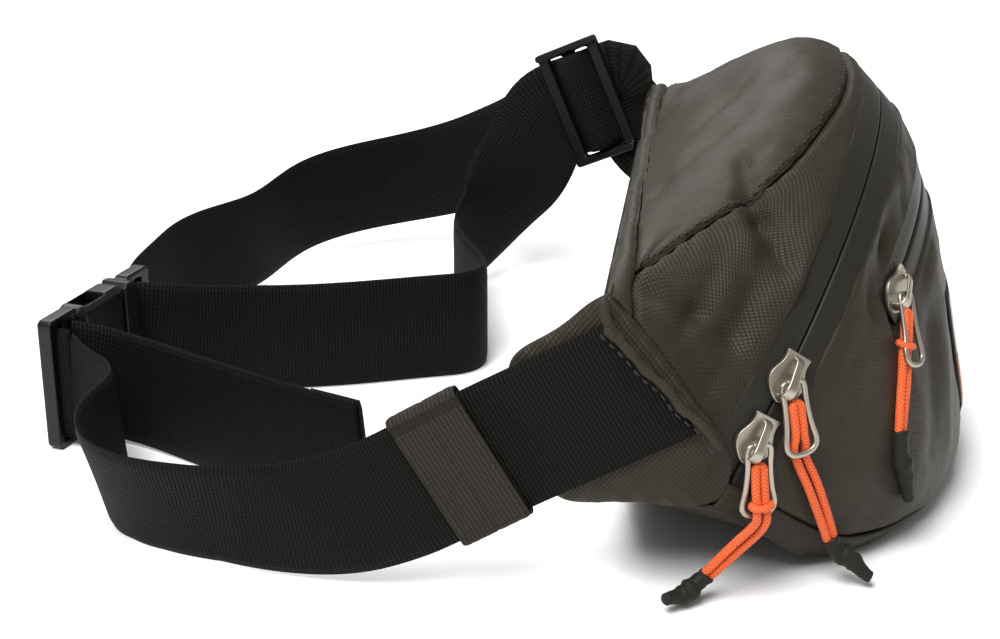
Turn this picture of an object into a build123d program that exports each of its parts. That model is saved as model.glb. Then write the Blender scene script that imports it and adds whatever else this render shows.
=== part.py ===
"""Waist-worn throw rope bag: a padded, zipped hip pack on a 38 mm webbing belt.

Millimetres. +Z is up, the belt loop lies towards +Y and the front of the pack faces -Y.
The origin is the middle of the flat base that the pack stands on.
"""
import os
from math import cos, radians, sin

from build123d import *

os.makedirs("parts", exist_ok=True)

# ---------------------------------------------------------------- driving dimensions
WEBBING = 38.0  # belt webbing width
WEBBING_T = 1.7  # belt webbing thickness
BEND_STEP = 16.0  # degrees of bend in one flat length of webbing
HALF_WIDTH = 115.0  # mid-plane to the end seam
BACK_Y = 50.0  # plane of the back panel
WALL = 1.6  # coated fabric with its lining
FIT = 0.3  # clearance between pieces that move
CUT = 400.0  # longer than the pack any way

# Outlines of the pack at distances from its mid-plane: depth in front of the back panel
# and height, from the back top edge over the crown and the front to the base edge.
OUTLINES = {
    0.0: [(0, 91), (26, 118), (56, 129), (69, 121), (74.5, 115), (88.3, 90), (95.5, 67),
          (100.5, 44), (105, 22), (104, 6), (99, -1)],
    40.0: [(0, 91), (24, 112), (50, 121.8), (64, 116), (71, 109), (83.5, 86), (93, 55),
           (99.8, 22), (97.5, 6), (92, -1)],
    56.0: [(0, 91), (21, 107), (43, 115), (58, 110.5), (67.5, 102.2), (73.5, 88), (78.2, 73.6),
           (86, 54), (94, 28), (94.5, 16), (91, 4), (86, -1)],
    70.0: [(0, 91), (18, 102), (37, 107.5), (54, 103), (63.3, 94), (70.5, 78), (76, 65),
           (82.5, 46), (88.5, 24), (85, 7), (80, -1)],
    90.0: [(0, 90.5), (9, 94), (20, 95), (54, 76), (63, 62), (68, 42), (69.5, 22), (65, 6), (58, 0)],
    104.0: [(0, 90), (5, 90.5), (14, 88), (43.6, 55), (48, 46), (49.5, 37), (49, 27), (43, 17)],
    HALF_WIDTH: [(0, 88), (5, 81), (10, 74), (26, 53), (30, 47), (31, 43), (30, 37), (27, 31)],
}
BACK_EDGE_LOW = {0.0: -1, 40.0: -1, 56.0: 0, 70.0: 6, 90.0: 19, 104.0: 27, HALF_WIDTH: 30}

# The two zips run on circles in planes that lean back from the vertical.
MAIN_TILT, MAIN_R = 27.0, 114.0
MAIN_DEPTH, MAIN_Z = 22.4, 13.7  # centre of the main zip's circle
MAIN_LEAN = 20.0  # tape's slope from the circle's axis
MAIN_END = 82.0  # tape ends, degrees from the top
POCKET_TILT, POCKET_R = 30.0, 88.0
POCKET_DEPTH, POCKET_Z = 44.0, 14.8
POCKET_LEAN = 40.0
POCKET_END = 45.0
TAPE_T = 1.2
SLIT = 0.7  # half of the gap between two tapes
COIL_W, COIL_T = 2.6, 1.8

# Slider rest places on their circles, degrees from the top towards -X.
UPPER_AT, LOWER_AT, POCKET_AT = 61.7, 70.9, 41.0

# Buckle: outer end of the female half, and the way that the buckle points.
BUCKLE_X, BUCKLE_Y, BUCKLE_Z = -42.0, 232.0, 22.0
BUCKLE_TURN = -13.0
BUCKLE_W, BUCKLE_H = 44.0, 11.0
FEMALE_L = 40.0


def side(depth):
    """World Y of a point that lies so far in front of the back panel."""
    return BACK_Y - depth


def save(builder, label, colour):
    builder.part.label = label
    builder.part.color = Color(colour)
    export_step(builder.part, f"parts/{label}.step")


# ---------------------------------------------------------------- pack body
PROFILE_STEPS, SPAN_STEPS = 13, 22  # flat facets round each outline and across the pack


def inset_outline(points, inset):
    """Outline points moved towards the outline's middle by about the inset."""
    mid = sum((Vector(*p) for p in points), Vector()) / len(points)
    moved = [Vector(*p) + (mid - Vector(*p)).normalized() * inset for p in points]
    return [(p.X, p.Y) for p in moved]


def body_volume(inset, widest=HALF_WIDTH):
    """The pack's whole volume, or a smaller one nested in it, out to the widest outline."""
    columns = []
    for x in sorted({s * k for k in OUTLINES if k <= widest for s in (-1, 1)}):
        points = OUTLINES[abs(x)]
        low = (0, BACK_EDGE_LOW[abs(x)])
        if inset:
            points = inset_outline(points, inset)
            points[0] = (max(inset, 0), points[0][1])
            low = (max(inset, 0), low[1] + inset)
        profile = Edge.make_spline([Vector(*p) for p in points])
        shares = [i / PROFILE_STEPS for i in range(PROFILE_STEPS + 1)]
        reach = min(abs(x), HALF_WIDTH - inset) * (1 if x > 0 else -1)
        ring = [profile.position_at(share) for share in shares] + [Vector(*low)]
        columns.append([Vector(reach, side(p.X), p.Y) for p in ring])
    rows = [Edge.make_spline([column[i] for column in columns]) for i in range(len(columns[0]))]
    with BuildPart() as volume:
        for step in range(SPAN_STEPS + 1):
            ring = [row.position_at(step / SPAN_STEPS) for row in rows]
            with BuildSketch(Plane.YZ.offset(sum(p.X for p in ring) / len(ring))):
                with BuildLine():
                    Polyline(*[(p.Y, max(p.Z, inset)) for p in ring], close=True)
                make_face()
        loft(ruled=True)
    return volume.part


outside = body_volume(0)
shell = outside - body_volume(WALL)


def slab(tilt, depth, z, low, high):
    """Side-view strip between two offsets from a leaning circle's plane."""
    middle = (low + high) / 2
    y = side(depth) - cos(radians(tilt)) * middle
    height = z - sin(radians(tilt)) * middle
    with Locations((y, height)):
        Rectangle(high - low, 2 * CUT, rotation=tilt)


REAR_SEAM, FRONT_SEAM = -7.5, 6.5  # main zip tape edges, from its slit
POCKET_SEAM = 6.2
POCKET_HALF = 67.5
EDGE_BAND = 7.0  # strip that binds the back panel's top edge
BOTTOM_RISE = 4.0  # the bottom panel turns up this far all round
CHEEK = HALF_WIDTH - WALL  # the shell's ends belong to the hip wings


def yoke_curve():
    """Seam between the top panel and the yoke, in the side view."""
    points = [(-4, 88), (8, 91.5), (22, 97.5), (35, 104), (47, 111), (57, 118.5), (66, 128), (70, 136)]
    return [(side(depth), z) for depth, z in points]


with BuildPart() as base_zone:
    for x in sorted({s * k for k in OUTLINES for s in (-1, 1)}):
        edge_depth, edge_z = OUTLINES[abs(x)][-1]
        back_z = BACK_EDGE_LOW[abs(x)]
        with BuildSketch(Plane.YZ.offset(x)):
            with BuildLine():
                Polyline(
                    (side(edge_depth + 15), max(edge_z, 0) + BOTTOM_RISE),
                    (BACK_Y + 5, max(back_z, 0) + BOTTOM_RISE),
                    (BACK_Y + 5, -20),
                    (side(edge_depth + 15), -20),
                    close=True,
                )
            make_face()
    loft(ruled=True)

with BuildPart() as walls:
    add(shell)
    with BuildSketch(Plane.YZ):
        with Locations((side(0), CUT / 2)):
            Rectangle(2 * WALL, 3 * CUT)
    extrude(amount=CUT, both=True, mode=Mode.SUBTRACT)
    with BuildSketch(Plane.XY):
        Rectangle(2 * CHEEK, CUT)
    extrude(amount=CUT, both=True, mode=Mode.INTERSECT)
    add(base_zone.part, mode=Mode.SUBTRACT)

with BuildPart() as back_panel:
    add(shell)
    with BuildSketch(Plane.YZ):
        with Locations((side(0), 0)):
            Rectangle(2 * WALL, 3 * CUT)
    extrude(amount=CHEEK, both=True, mode=Mode.INTERSECT)
save(back_panel, "back_panel", "dimgray")

with BuildPart() as bottom_panel:
    add(shell)
    add(base_zone.part, mode=Mode.INTERSECT)
    with BuildSketch(Plane.XZ.offset(-side(WALL))):
        Rectangle(2 * CHEEK, CUT)
    extrude(amount=CUT, mode=Mode.INTERSECT)
save(bottom_panel, "bottom_panel", "gray")

with BuildPart() as back_edge_band:
    add(walls.part)
    with BuildSketch(Plane.YZ):
        with Locations((side(EDGE_BAND), BACK_EDGE_LOW[HALF_WIDTH] + 50)):
            Rectangle(EDGE_BAND, CUT, align=(Align.MIN, Align.MIN))
    extrude(amount=CUT, both=True, mode=Mode.INTERSECT)
save(back_edge_band, "back_edge_band", "gray")

with BuildPart() as top_panel:
    add(walls.part)
    with BuildSketch(Plane.YZ):
        with BuildLine():
            seam = Polyline(*yoke_curve())
            Polyline(seam @ 1, (side(72), CUT), (side(-4), CUT), seam @ 0)
        make_face()
        with Locations((side(EDGE_BAND), 0)):
            Rectangle(CUT, 3 * CUT, align=(Align.MIN, Align.CENTER), mode=Mode.SUBTRACT)
    extrude(amount=CUT, both=True, mode=Mode.INTERSECT)
save(top_panel, "top_panel", "darkslategray")

with BuildPart() as side_yoke:
    add(walls.part)
    with BuildSketch(Plane.YZ):
        slab(MAIN_TILT, MAIN_DEPTH, MAIN_Z, REAR_SEAM - CUT, REAR_SEAM)
        with BuildLine():
            seam = Polyline(*yoke_curve())
            Polyline(seam @ 1, (side(72), CUT), (side(-4), CUT), seam @ 0)
        make_face(mode=Mode.SUBTRACT)
    extrude(amount=CUT, both=True, mode=Mode.INTERSECT)
    add(back_edge_band.part, mode=Mode.SUBTRACT)
save(side_yoke, "side_yoke", "slategray")

with BuildPart() as front_panel:
    add(walls.part)
    with BuildSketch(Plane.YZ):
        slab(MAIN_TILT, MAIN_DEPTH, MAIN_Z, FRONT_SEAM, FRONT_SEAM + CUT)
    extrude(amount=CUT, both=True, mode=Mode.INTERSECT)
    with BuildSketch(Plane.YZ):
        slab(POCKET_TILT, POCKET_DEPTH, POCKET_Z, -POCKET_SEAM, POCKET_SEAM)
        with Locations((side(80), 0)):
            Rectangle(CUT, 2 * 66, mode=Mode.SUBTRACT)
    extrude(amount=POCKET_HALF, both=True, mode=Mode.SUBTRACT)
save(front_panel, "front_panel", "darkslateblue")

# Pocket bag behind the front panel.
with BuildPart() as pocket_lining:
    add(body_volume(8.5, 90))
    add(body_volume(9.3, 90), mode=Mode.SUBTRACT)
    with BuildSketch(Plane.YZ):
        slab(POCKET_TILT, POCKET_DEPTH, POCKET_Z, POCKET_SEAM + 5, CUT)
    extrude(amount=POCKET_HALF + 4, both=True, mode=Mode.INTERSECT)
save(pocket_lining, "pocket_lining", "lightgray")

# ---------------------------------------------------------------- back padding
PAD_INSET, PAD_T, FOAM_T = 14.0, 3.5, 4.0


def back_pad_face(inset):
    """Rounded shape of the padding, on the back panel."""
    wide, tall = 2 * (HALF_WIDTH - inset - 12), 88 - 2 * inset
    with Locations((0, 47 + inset / 6)):
        RectangleRounded(wide, tall, 12)


with BuildPart() as back_pad:
    with BuildSketch(Plane.XZ.offset(-BACK_Y)):
        back_pad_face(PAD_INSET)
    extrude(amount=-PAD_T)
    chamfer(back_pad.faces().sort_by(Axis.Y)[-1].edges(), 1.8)
save(back_pad, "back_pad", "black")

with BuildPart() as back_foam:
    with BuildSketch(Plane.XZ.offset(-side(WALL + FIT))):
        back_pad_face(PAD_INSET + 2)
    extrude(amount=FOAM_T)
save(back_foam, "back_foam", "white")


# ---------------------------------------------------------------- zips
def leaning_frame(tilt, depth, z):
    """Centre, in-plane up direction and axis of a zip's circle."""
    lean = radians(tilt)
    up = Vector(0, -sin(lean), cos(lean))
    axis = Vector(0, -cos(lean), -sin(lean))
    return Vector(0, side(depth), z), up, axis


def zip_strip(frame, radius, lean, outer, inner, drop, thick, end):
    """A strip swept round the zip's circle: outer edge square to the seam, inner to the strip."""
    centre, up, axis = frame
    c, s = cos(radians(lean)), sin(radians(lean))
    corners = []
    for level in (-drop, -drop - thick):
        reach = (outer - level * s) / c
        corners.append([(reach * c + level * s, radius - reach * s + level * c),
                        (inner * c + level * s, radius - inner * s + level * c)])
    start = Plane(centre, x_dir=axis, z_dir=axis.cross(up))
    with BuildPart() as strip:
        with BuildSketch(start):
            with BuildLine():
                Polyline(*corners[0], *reversed(corners[1]), close=True)
            make_face()
        revolve(axis=Axis(centre, axis), revolution_arc=end)
        mirror(about=Plane.YZ)
        with BuildSketch(Plane.XY):
            Rectangle(2 * CHEEK - 2 * FIT, CUT)
        extrude(amount=CUT, both=True, mode=Mode.INTERSECT)
        add(base_zone.part, mode=Mode.SUBTRACT)
    return strip


main_frame = leaning_frame(MAIN_TILT, MAIN_DEPTH, MAIN_Z)
pocket_frame = leaning_frame(POCKET_TILT, POCKET_DEPTH, POCKET_Z)
for label, frame, radius, lean, seams, end in (
    ("main_zip", main_frame, MAIN_R, MAIN_LEAN, (REAR_SEAM, FRONT_SEAM), MAIN_END),
    ("pocket_zip", pocket_frame, POCKET_R, POCKET_LEAN, (-POCKET_SEAM, POCKET_SEAM), POCKET_END),
):
    save(zip_strip(frame, radius, lean, seams[0] + 0.05, -SLIT, 0, TAPE_T, end),
         f"{label}_rear_tape", "black")
    save(zip_strip(frame, radius, lean, seams[1] - 0.05, SLIT, 0, TAPE_T, end),
         f"{label}_front_tape", "black")
    with BuildPart() as coil:
        for way in (-1, 1):
            add(zip_strip(frame, radius, lean, way * COIL_W, way * SLIT,
                          TAPE_T + 0.05, COIL_T, end - 4).part)
    save(coil, f"{label}_coil", "dimgray")


# ---------------------------------------------------------------- zip sliders and pulls
SLIDER_L, SLIDER_W, PLATE_T = 14.4, 11.5, 1.3
SLIDER_HALF = [(-0.5, 0.34), (-0.46, 0.39), (-0.25, 0.38), (-0.05, 0.47), (0.1, 0.5), (0.28, 0.42),
               (0.44, 0.24), (0.5, 0.1)]
INNER_DROP = TAPE_T + COIL_T + 0.8  # inner plate, below the tape's face
BRIDGE_W = 1.8
BRIDGE_OUTER = [(-4.2, 0), (-3.5, 2.4), (-1.8, 4.3), (0.4, 5.1), (2.4, 4.9), (3.6, 3.7), (4.0, 0)]
BRIDGE_INNER = [(3.1, 0), (2.8, 3.2), (1.9, 4.0), (0.3, 4.1), (-1.4, 3.3), (-2.8, 0)]
RING_L, RING_W, RING_T, RING_WIRE = 20.8, 10.9, 1.4, 1.5
RING_TOP_W = 9.6
RING_HALF = [(0.06, RING_TOP_W), (0.4, 9.0), (0.62, 9.9), (0.76, RING_W), (0.86, 10.0), (0.92, 7.6)]
RING_AT = 0.8  # pivot, from the slider's middle towards its pull end
RING_LIFT = 2.3  # pivot above the plate's underside, plus the plate


def circle_point(frame, radius, angle):
    """Point, outward direction and downward tangent on a zip's circle, on the -X side."""
    centre, up, axis = frame
    a = radians(angle)
    outward = Vector(-sin(a), 0, 0) + up * cos(a)
    along = Vector(-cos(a), 0, 0) - up * sin(a)
    return centre + outward * radius, outward, along


def slider_plane(frame, radius, lean, angle):
    """Plane on the tape: X runs down the zip, Z stands off the fabric."""
    point, outward, along = circle_point(frame, radius, angle)
    normal = outward * cos(radians(lean)) + frame[2] * sin(radians(lean))
    return Plane(point, x_dir=along, z_dir=normal)


def slider(plane):
    """Slider: shield plate, arched bridge, post through the slit and inner plate."""
    with BuildPart() as body:
        with BuildSketch(plane.offset(FIT)):
            with BuildLine():
                half = [(a * SLIDER_L, w * SLIDER_W) for a, w in SLIDER_HALF]
                Polyline(*half, *[(a, -w) for a, w in reversed(half)], close=True)
            make_face()
        extrude(amount=PLATE_T)
        foot = plane.offset(FIT + PLATE_T - 0.05)
        with BuildSketch(Plane(foot.origin, x_dir=plane.x_dir, z_dir=plane.x_dir.cross(plane.z_dir))):
            with BuildLine():
                Polyline(*BRIDGE_OUTER, *BRIDGE_INNER, close=True)
            make_face()
        extrude(amount=BRIDGE_W / 2, both=True)
        with BuildSketch(plane.offset(FIT + 0.1)):
            with Locations((-SLIDER_L * 0.32, 0)):
                Rectangle(3.4, 0.8)
        extrude(amount=-(FIT + 0.1 + INNER_DROP + 0.1))
        with BuildSketch(plane.offset(-INNER_DROP)):
            RectangleRounded(SLIDER_L - 2, SLIDER_W - 2, 3)
        extrude(amount=-1.2)
    return body


def ring(plane):
    """Dog-bone pull ring: a narrow top bar on the pivot, a waist and a round lower end."""
    with BuildPart() as body:
        with BuildSketch(plane.offset(-RING_T / 2)):
            for inset, mode in ((0, Mode.ADD), (RING_WIRE, Mode.SUBTRACT)):
                with BuildLine():
                    half = [(RING_WIRE / -2 + inset, RING_TOP_W * 0.34 - inset * 0.8)]
                    half += [(a * RING_L, w / 2 - inset) for a, w in RING_HALF]
                    half += [(RING_L - RING_WIRE / 2 - inset, RING_W * 0.2)]
                    Polyline(*half, *[(a, -w) for a, w in reversed(half)], close=True)
                make_face(mode=mode)
        extrude(amount=RING_T)
    return body


def doubled_cord(points, width):
    """Two cords side by side as one plain tube: straight runs and tangent arcs."""
    runs = [(Vector(*b) - Vector(*a)).length for a, b in zip(points, points[1:])]
    radii = []
    for i in range(1, len(points) - 1):
        into = Vector(*points[i]) - Vector(*points[i - 1])
        out = Vector(*points[i + 1]) - Vector(*points[i])
        turn = radians(into.get_angle(out))
        radii.append(0.45 * min(runs[i - 1], runs[i]) / (sin(turn / 2) / cos(turn / 2)))
    with BuildPart() as tube:
        with BuildLine() as path:
            FilletPolyline(*points, radius=radii)
        with BuildSketch(Plane(path.wire() ^ 0)):
            section = RegularPolygon(width / 2, 8)
        sweep(path=path.wire())
    length = path.wire().length
    print(f"cord {length:.1f} mm, radii {[round(r, 1) for r in radii]},",
          f"volume ratio {tube.part.volume / (section.area * length):.4f}")
    return tube


def shrink_tube(start, end, radius, bulge):
    """Heat-shrink end over the cord's knot: a sleeve with a swelling in its middle."""
    a, b = Vector(*start), Vector(*end)
    length = (b - a).length
    with BuildPart() as body:
        with BuildSketch(Plane(a, x_dir=(b - a), z_dir=(b - a).cross(Vector(0.3, 0.2, 1)))):
            with BuildLine():
                Polyline(
                    (0, 0),
                    (0, radius),
                    (length * 0.38, radius),
                    (length * 0.55, bulge),
                    (length * 0.72, radius),
                    (length, radius * 0.9),
                    (length, 0),
                    close=True,
                )
            make_face()
        revolve(axis=Axis(a, b - a))
    return body


CORD_W, TUBE_R, TUBE_BULGE = 4.0, 2.1, 3.0
PULLS = {
    "main_upper": dict(
        plane=slider_plane(main_frame, MAIN_R, MAIN_LEAN, UPPER_AT),
        hangs_to=(-105.9, -2.6, 42.0),
        cord=[(-103.0, -6.9, 30.0), (-99.0, -12.0, 13.6)],
        tube_end=(-98.6, -24.0, 3.5),
    ),
    "main_lower": dict(
        plane=slider_plane(main_frame, MAIN_R, MAIN_LEAN, LOWER_AT),
        hangs_to=(-111.9, 8.6, 26.0),
        cord=[(-112.0, 14.0, 16.5), (-112.6, 22.0, 7.2)],
        tube_end=(-121.0, 32.0, 3.4),
    ),
    "pocket": dict(
        plane=slider_plane(pocket_frame, POCKET_R, POCKET_LEAN, POCKET_AT),
        hangs_to=(-68.0, -34.0, 54.5),
        cord=[(-80.4, -29.6, 43.5), (-83.6, -30.6, 34.0)],
        tube_end=(-81.6, -35.4, 17.5),
    ),
}
for label, pull in PULLS.items():
    plane = pull["plane"]
    save(slider(plane), f"{label}_slider", "silver")
    pivot = plane.origin + plane.x_dir * RING_AT + plane.z_dir * (FIT + PLATE_T + RING_LIFT)
    down = (Vector(*pull["hangs_to"]) - pivot).normalized()
    face = (plane.z_dir - down * plane.z_dir.dot(down)).normalized()
    save(ring(Plane(pivot, x_dir=down, z_dir=face)), f"{label}_ring", "silver")
    lift = face * (RING_T / 2 + CORD_W / 2 + FIT)
    window = pivot + down * (RING_L * 0.62) + lift
    over = pivot + down * (RING_L + 1.8) + lift * 0.95
    route = [tuple(window), tuple(over), *pull["cord"]]
    save(doubled_cord(route, CORD_W), f"{label}_pull_cord", "orange")
    tail_way = (Vector(*pull["tube_end"]) - Vector(*pull["cord"][-1])).normalized()
    joint = Vector(*pull["cord"][-1]) + tail_way * (CORD_W / 2)
    save(shrink_tube(tuple(joint), pull["tube_end"], TUBE_R, TUBE_BULGE), f"{label}_pull_end", "black")
    print(label, "pivot", [round(v, 2) for v in tuple(pivot)],
          "pivot axis", [round(v, 4) for v in tuple(face.cross(down))])

# ---------------------------------------------------------------- front label
LABEL_W, LABEL_H, LABEL_T = 44.0, 38.0, 1.0
LABEL_Z = 40.0
with BuildPart() as label_base:
    add(body_volume(-LABEL_T, 70))
    with BuildSketch(Plane.XZ):
        with Locations((0, LABEL_Z)):
            RectangleRounded(LABEL_W, LABEL_H, 2.5)
    extrude(amount=CUT, mode=Mode.INTERSECT)
    add(outside, mode=Mode.SUBTRACT)
save(label_base, "label_base", "black")


# ---------------------------------------------------------------- hip wings
WING_T = 4.0
SEAM_SIDE = [(0, 88), (10, 74), (26, 53), (31, 45), (30, 38), (27, 31), (6, 29)]
WING_BACK = {
    "left": [(-14, 30), (-20, 42), (-27, 64), (-25, 74), (-12, 84), (-4, 88.5)],
    "right": [(0, 32), (-1, 52), (-8, 66), (-13, 82), (-9, 90), (-4, 89.5)],
}
for name, sign in (("left", -1), ("right", 1)):
    with BuildPart() as wing:
        with BuildSketch(Plane.YZ.offset(sign * CHEEK)):
            with BuildLine():
                Polyline(*[(side(d), z) for d, z in SEAM_SIDE + WING_BACK[name]], close=True)
            make_face()
        extrude(amount=sign * WING_T)
        chamfer(wing.faces().sort_by(Axis.X)[0 if sign < 0 else -1].edges(), 0.8)
    save(wing, f"hip_wing_{name}", "darkgray")
    with BuildPart() as binding:
        reach = 3 if sign < 0 else 10
        start, end = Vector(0, side(reach), 83.5 - reach), Vector(0, side(32), 44)
        run = end - start
        outer = sign * (CHEEK + WING_T + WEBBING_T + (0.3 if sign < 0 else 2.8) + 1.1)
        with BuildSketch(Plane((outer, start.Y, start.Z), x_dir=(1, 0, 0), z_dir=run)):
            RectangleRounded(2.2, 5.0, 0.9)
        extrude(amount=run.length)
    save(binding, f"wing_binding_{name}", "gray")


# ---------------------------------------------------------------- webbing
def ribbon(rings):
    """Closed solid through four-cornered rings, flat between them and as thick all along."""
    faces = [Face(Wire.make_polygon(ring)) for ring in (rings[0], rings[-1])]
    for one, two in zip(rings, rings[1:]):
        for i in (0, 1):
            faces.append(Face(Wire.make_polygon([one[i], one[i + 1], two[i + 1]])))
            faces.append(Face(Wire.make_polygon([one[i], two[i + 1], two[i]])))
        for i, j in ((2, 3), (3, 0)):
            faces.append(Face(Wire.make_polygon([one[i], one[j], two[i]])))
            faces.append(Face(Wire.make_polygon([one[j], two[j], two[i]])))
    return Solid(Shell(faces))


def webbing(stations):
    """Webbing through (x, y, z, lean) stations, in short flat lengths round each bend.

    A station may also state the direction of the webbing's width, which is up without it.
    """
    line = Edge.make_spline([Vector(*s[:3]) for s in stations])
    places = [line.param_at_point(Vector(*s[:3])) for s in stations]
    rings = []
    for k in range(len(stations) - 1):
        bend = line.tangent_at(places[k]).get_angle(line.tangent_at(places[k + 1]))
        steps = 1 + int(bend / BEND_STEP)
        last = 1 if k == len(stations) - 2 else 0
        for i in range(steps + last):
            share = i / steps
            at = places[k] * (1 - share) + places[k + 1] * share
            lean = stations[k][3] * (1 - share) + stations[k + 1][3] * share
            rise = [Vector(*(s[4:] or (0, 0, 1))) for s in stations[k:k + 2]]
            rise = rise[0] * (1 - share) + rise[1] * share
            way = line.tangent_at(at)
            left = rise.cross(way).normalized()
            across = way.cross(left).rotate(Axis((0, 0, 0), way), -lean)
            flat = way.cross(across)
            middle = line.position_at(at)
            rings.append([middle + across * (c * WEBBING / 2) + flat * (f * WEBBING_T / 2)
                          for c, f in ((-1, -1), (1, -1), (1, 1), (-1, 1))])
    with BuildPart() as strap:
        add(ribbon(rings))
    print(f"webbing {line.length:.0f} mm, volume ratio",
          round(strap.part.volume / (line.length * WEBBING * WEBBING_T), 4))
    return strap


SLOT_W = 39.6
SLOT_SHIFT = -0.4  # the webbing sits this much below the buckle's middle
turn = radians(BUCKLE_TURN)


def buckle_at(along, out, z=BUCKLE_Z + SLOT_SHIFT):
    """World point in the buckle: along it from the female end, and out from the loop."""
    return (
        BUCKLE_X + along * cos(turn) - out * sin(turn),
        BUCKLE_Y + along * sin(turn) + out * cos(turn),
        z,
    )


WEB_X = CHEEK + WING_T + WEBBING_T / 2 + 0.1
NEAR = [
    (-WEB_X, 35, 71.2, 0), (-WEB_X, 54, 59.7, 0), (-WEB_X, 73, 48.2, 0), (-WEB_X, 92, 36.7, 0),
    (-WEB_X, 104, 29.6, 0), (-118.6, 118, 23.6, 4), (-118, 136, 19.6, 12), (-116.5, 158, 17.9, 22),
    (-112.5, 178, 17.7, 24), (-105, 191, 17.9, 22), (-95, 198.5, 18.5, 14), (-82, 201.5, 18.9, 8),
    (-69, 201, 18.9, 6), (-59.5, 203.5, 19.2, 4), (-53.5, 210, 19.6, 0), (-47, 217.5, 20.2, 0),
    (*buckle_at(4.4, -6.5), 0), (*buckle_at(5.1, 0), 0), (*buckle_at(6.2, 3.6), 0),
    (*buckle_at(8.6, 4.7), 0), (*buckle_at(11.0, 3.6), 0), (*buckle_at(12.1, 0), 0),
    (*buckle_at(12.0, -6.5), 0), (-33.5, 212, 20.2, 0), (-39, 199, 19.8, 0), (-46.5, 185, 19.4, 0),
    (-54.5, 170, 19.2, 0), (-62, 154, 19.2, -4), (-69, 138, 19.2, -6), (-75, 124, 19.2, -8),
]
glide_way = Vector(0.28, 0.86, -0.42).normalized()
glide_left = Vector(0, 0, 1).cross(glide_way).normalized()
glide_up = glide_way.cross(glide_left)
GLIDE = Vector(128.5, 75.5, 77.5)


def glide_at(along, out):
    """Station in the tri-glide: along the belt's way and out towards the belt loop."""
    return (*tuple(GLIDE + glide_way * along + glide_left * out), 0, *tuple(glide_up))


FAR = [
    (119.6, 36, 61.0, 0), (121.4, 43, 65.5, 0), (124.2, 51, 72.5, 0),
    glide_at(-17.5, -3.2), glide_at(-13, -2.9), glide_at(-9.6, -2.6), glide_at(-6.3, 0),
    glide_at(-3.2, 4.0), glide_at(0, 5.4), glide_at(3.2, 4.0), glide_at(6.3, 0),
    glide_at(9.6, -2.6), glide_at(15, -2.8),
    (137.8, 99, 53, 0), (137, 108, 38.0, 0), (130, 116, 27.0, 0),
    (115, 122.5, 21.0, 0), (92, 121, 19.3, 0), (72, 113.5, 19.3, 0), (57, 106.5, 19.3, 0),
    (46.5, 104.5, 19.3, 0), (38.5, 109, 19.3, 0), (33.5, 119, 19.3, 0), (28, 133, 19.3, 0),
    (21, 152, 19.3, 0), (16, 172, 19.3, 0), (12.5, 192, 19.6, 0), (9.5, 206, 20.2, 0),
    (*buckle_at(51.6, -4), 0), (*buckle_at(52.2, 0.4), 0), (*buckle_at(53.6, 3.7), 0),
    (*buckle_at(57, 5.1), 0), (29, 226, 20.8, 0), (55, 226, 20.6, 0), (78, 224, 20.5, 0),
    (91, 219, 20.6, 0), (101, 212, 20.9, 0), (110, 206, 21.3, 0), (123, 201, 22.5, 0),
    (145, 192.5, 25.5, 0), (163, 174, 28.5, 0), (170.5, 150, 32.5, 0), (166, 128, 40, 0),
    (156.5, 110, 50.0, 0), (148, 99, 58.5, 0), glide_at(15.5, -8.2),
    glide_at(8.5, -5.6), glide_at(3.9, -1.6), glide_at(3.6, 0.4),
    glide_at(2.4, 2.4), glide_at(0, 3.05), glide_at(-2.4, 2.4), glide_at(-3.6, 0.2),
    glide_at(-3.0, -2.2), glide_at(-1.0, -3.0),
]
save(webbing(NEAR), "webbing_near", "black")
save(webbing(FAR), "webbing_far", "black")

# Elastic keeper: a flat band round the near webbing.
KEEPER_W, KEEPER_T = 21.0, 1.0
down_belt = Vector(0, 38, -23).normalized()
keeper_plane = Plane((-WEB_X, 88, 39.12), x_dir=(1, 0, 0), z_dir=down_belt)
with BuildPart() as keeper:
    with BuildSketch(keeper_plane.offset(-KEEPER_W / 2)):
        gap_w, gap_t = WEBBING + 2 * FIT, WEBBING_T + 2 * FIT
        RectangleRounded(gap_t + 2 * KEEPER_T, gap_w + 2 * KEEPER_T, 1.4)
        RectangleRounded(gap_t, gap_w, 0.5, mode=Mode.SUBTRACT)
    extrude(amount=KEEPER_W)
save(keeper, "elastic_keeper", "dimgray")

# ---------------------------------------------------------------- side-release buckle
# Local X runs along the buckle, local Y up the webbing's width, local Z towards the loop.
buckle_plane = Plane(
    (BUCKLE_X, BUCKLE_Y, BUCKLE_Z),
    x_dir=(cos(turn), sin(turn), 0),
    z_dir=(sin(turn), -cos(turn), 0),
)
LADDER_L = 14.0
LADDER_T = 5.0
MOUTH_T = 7.0
CAVITY_W = 37.0
WINDOW = (18.0, 30.0)

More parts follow.
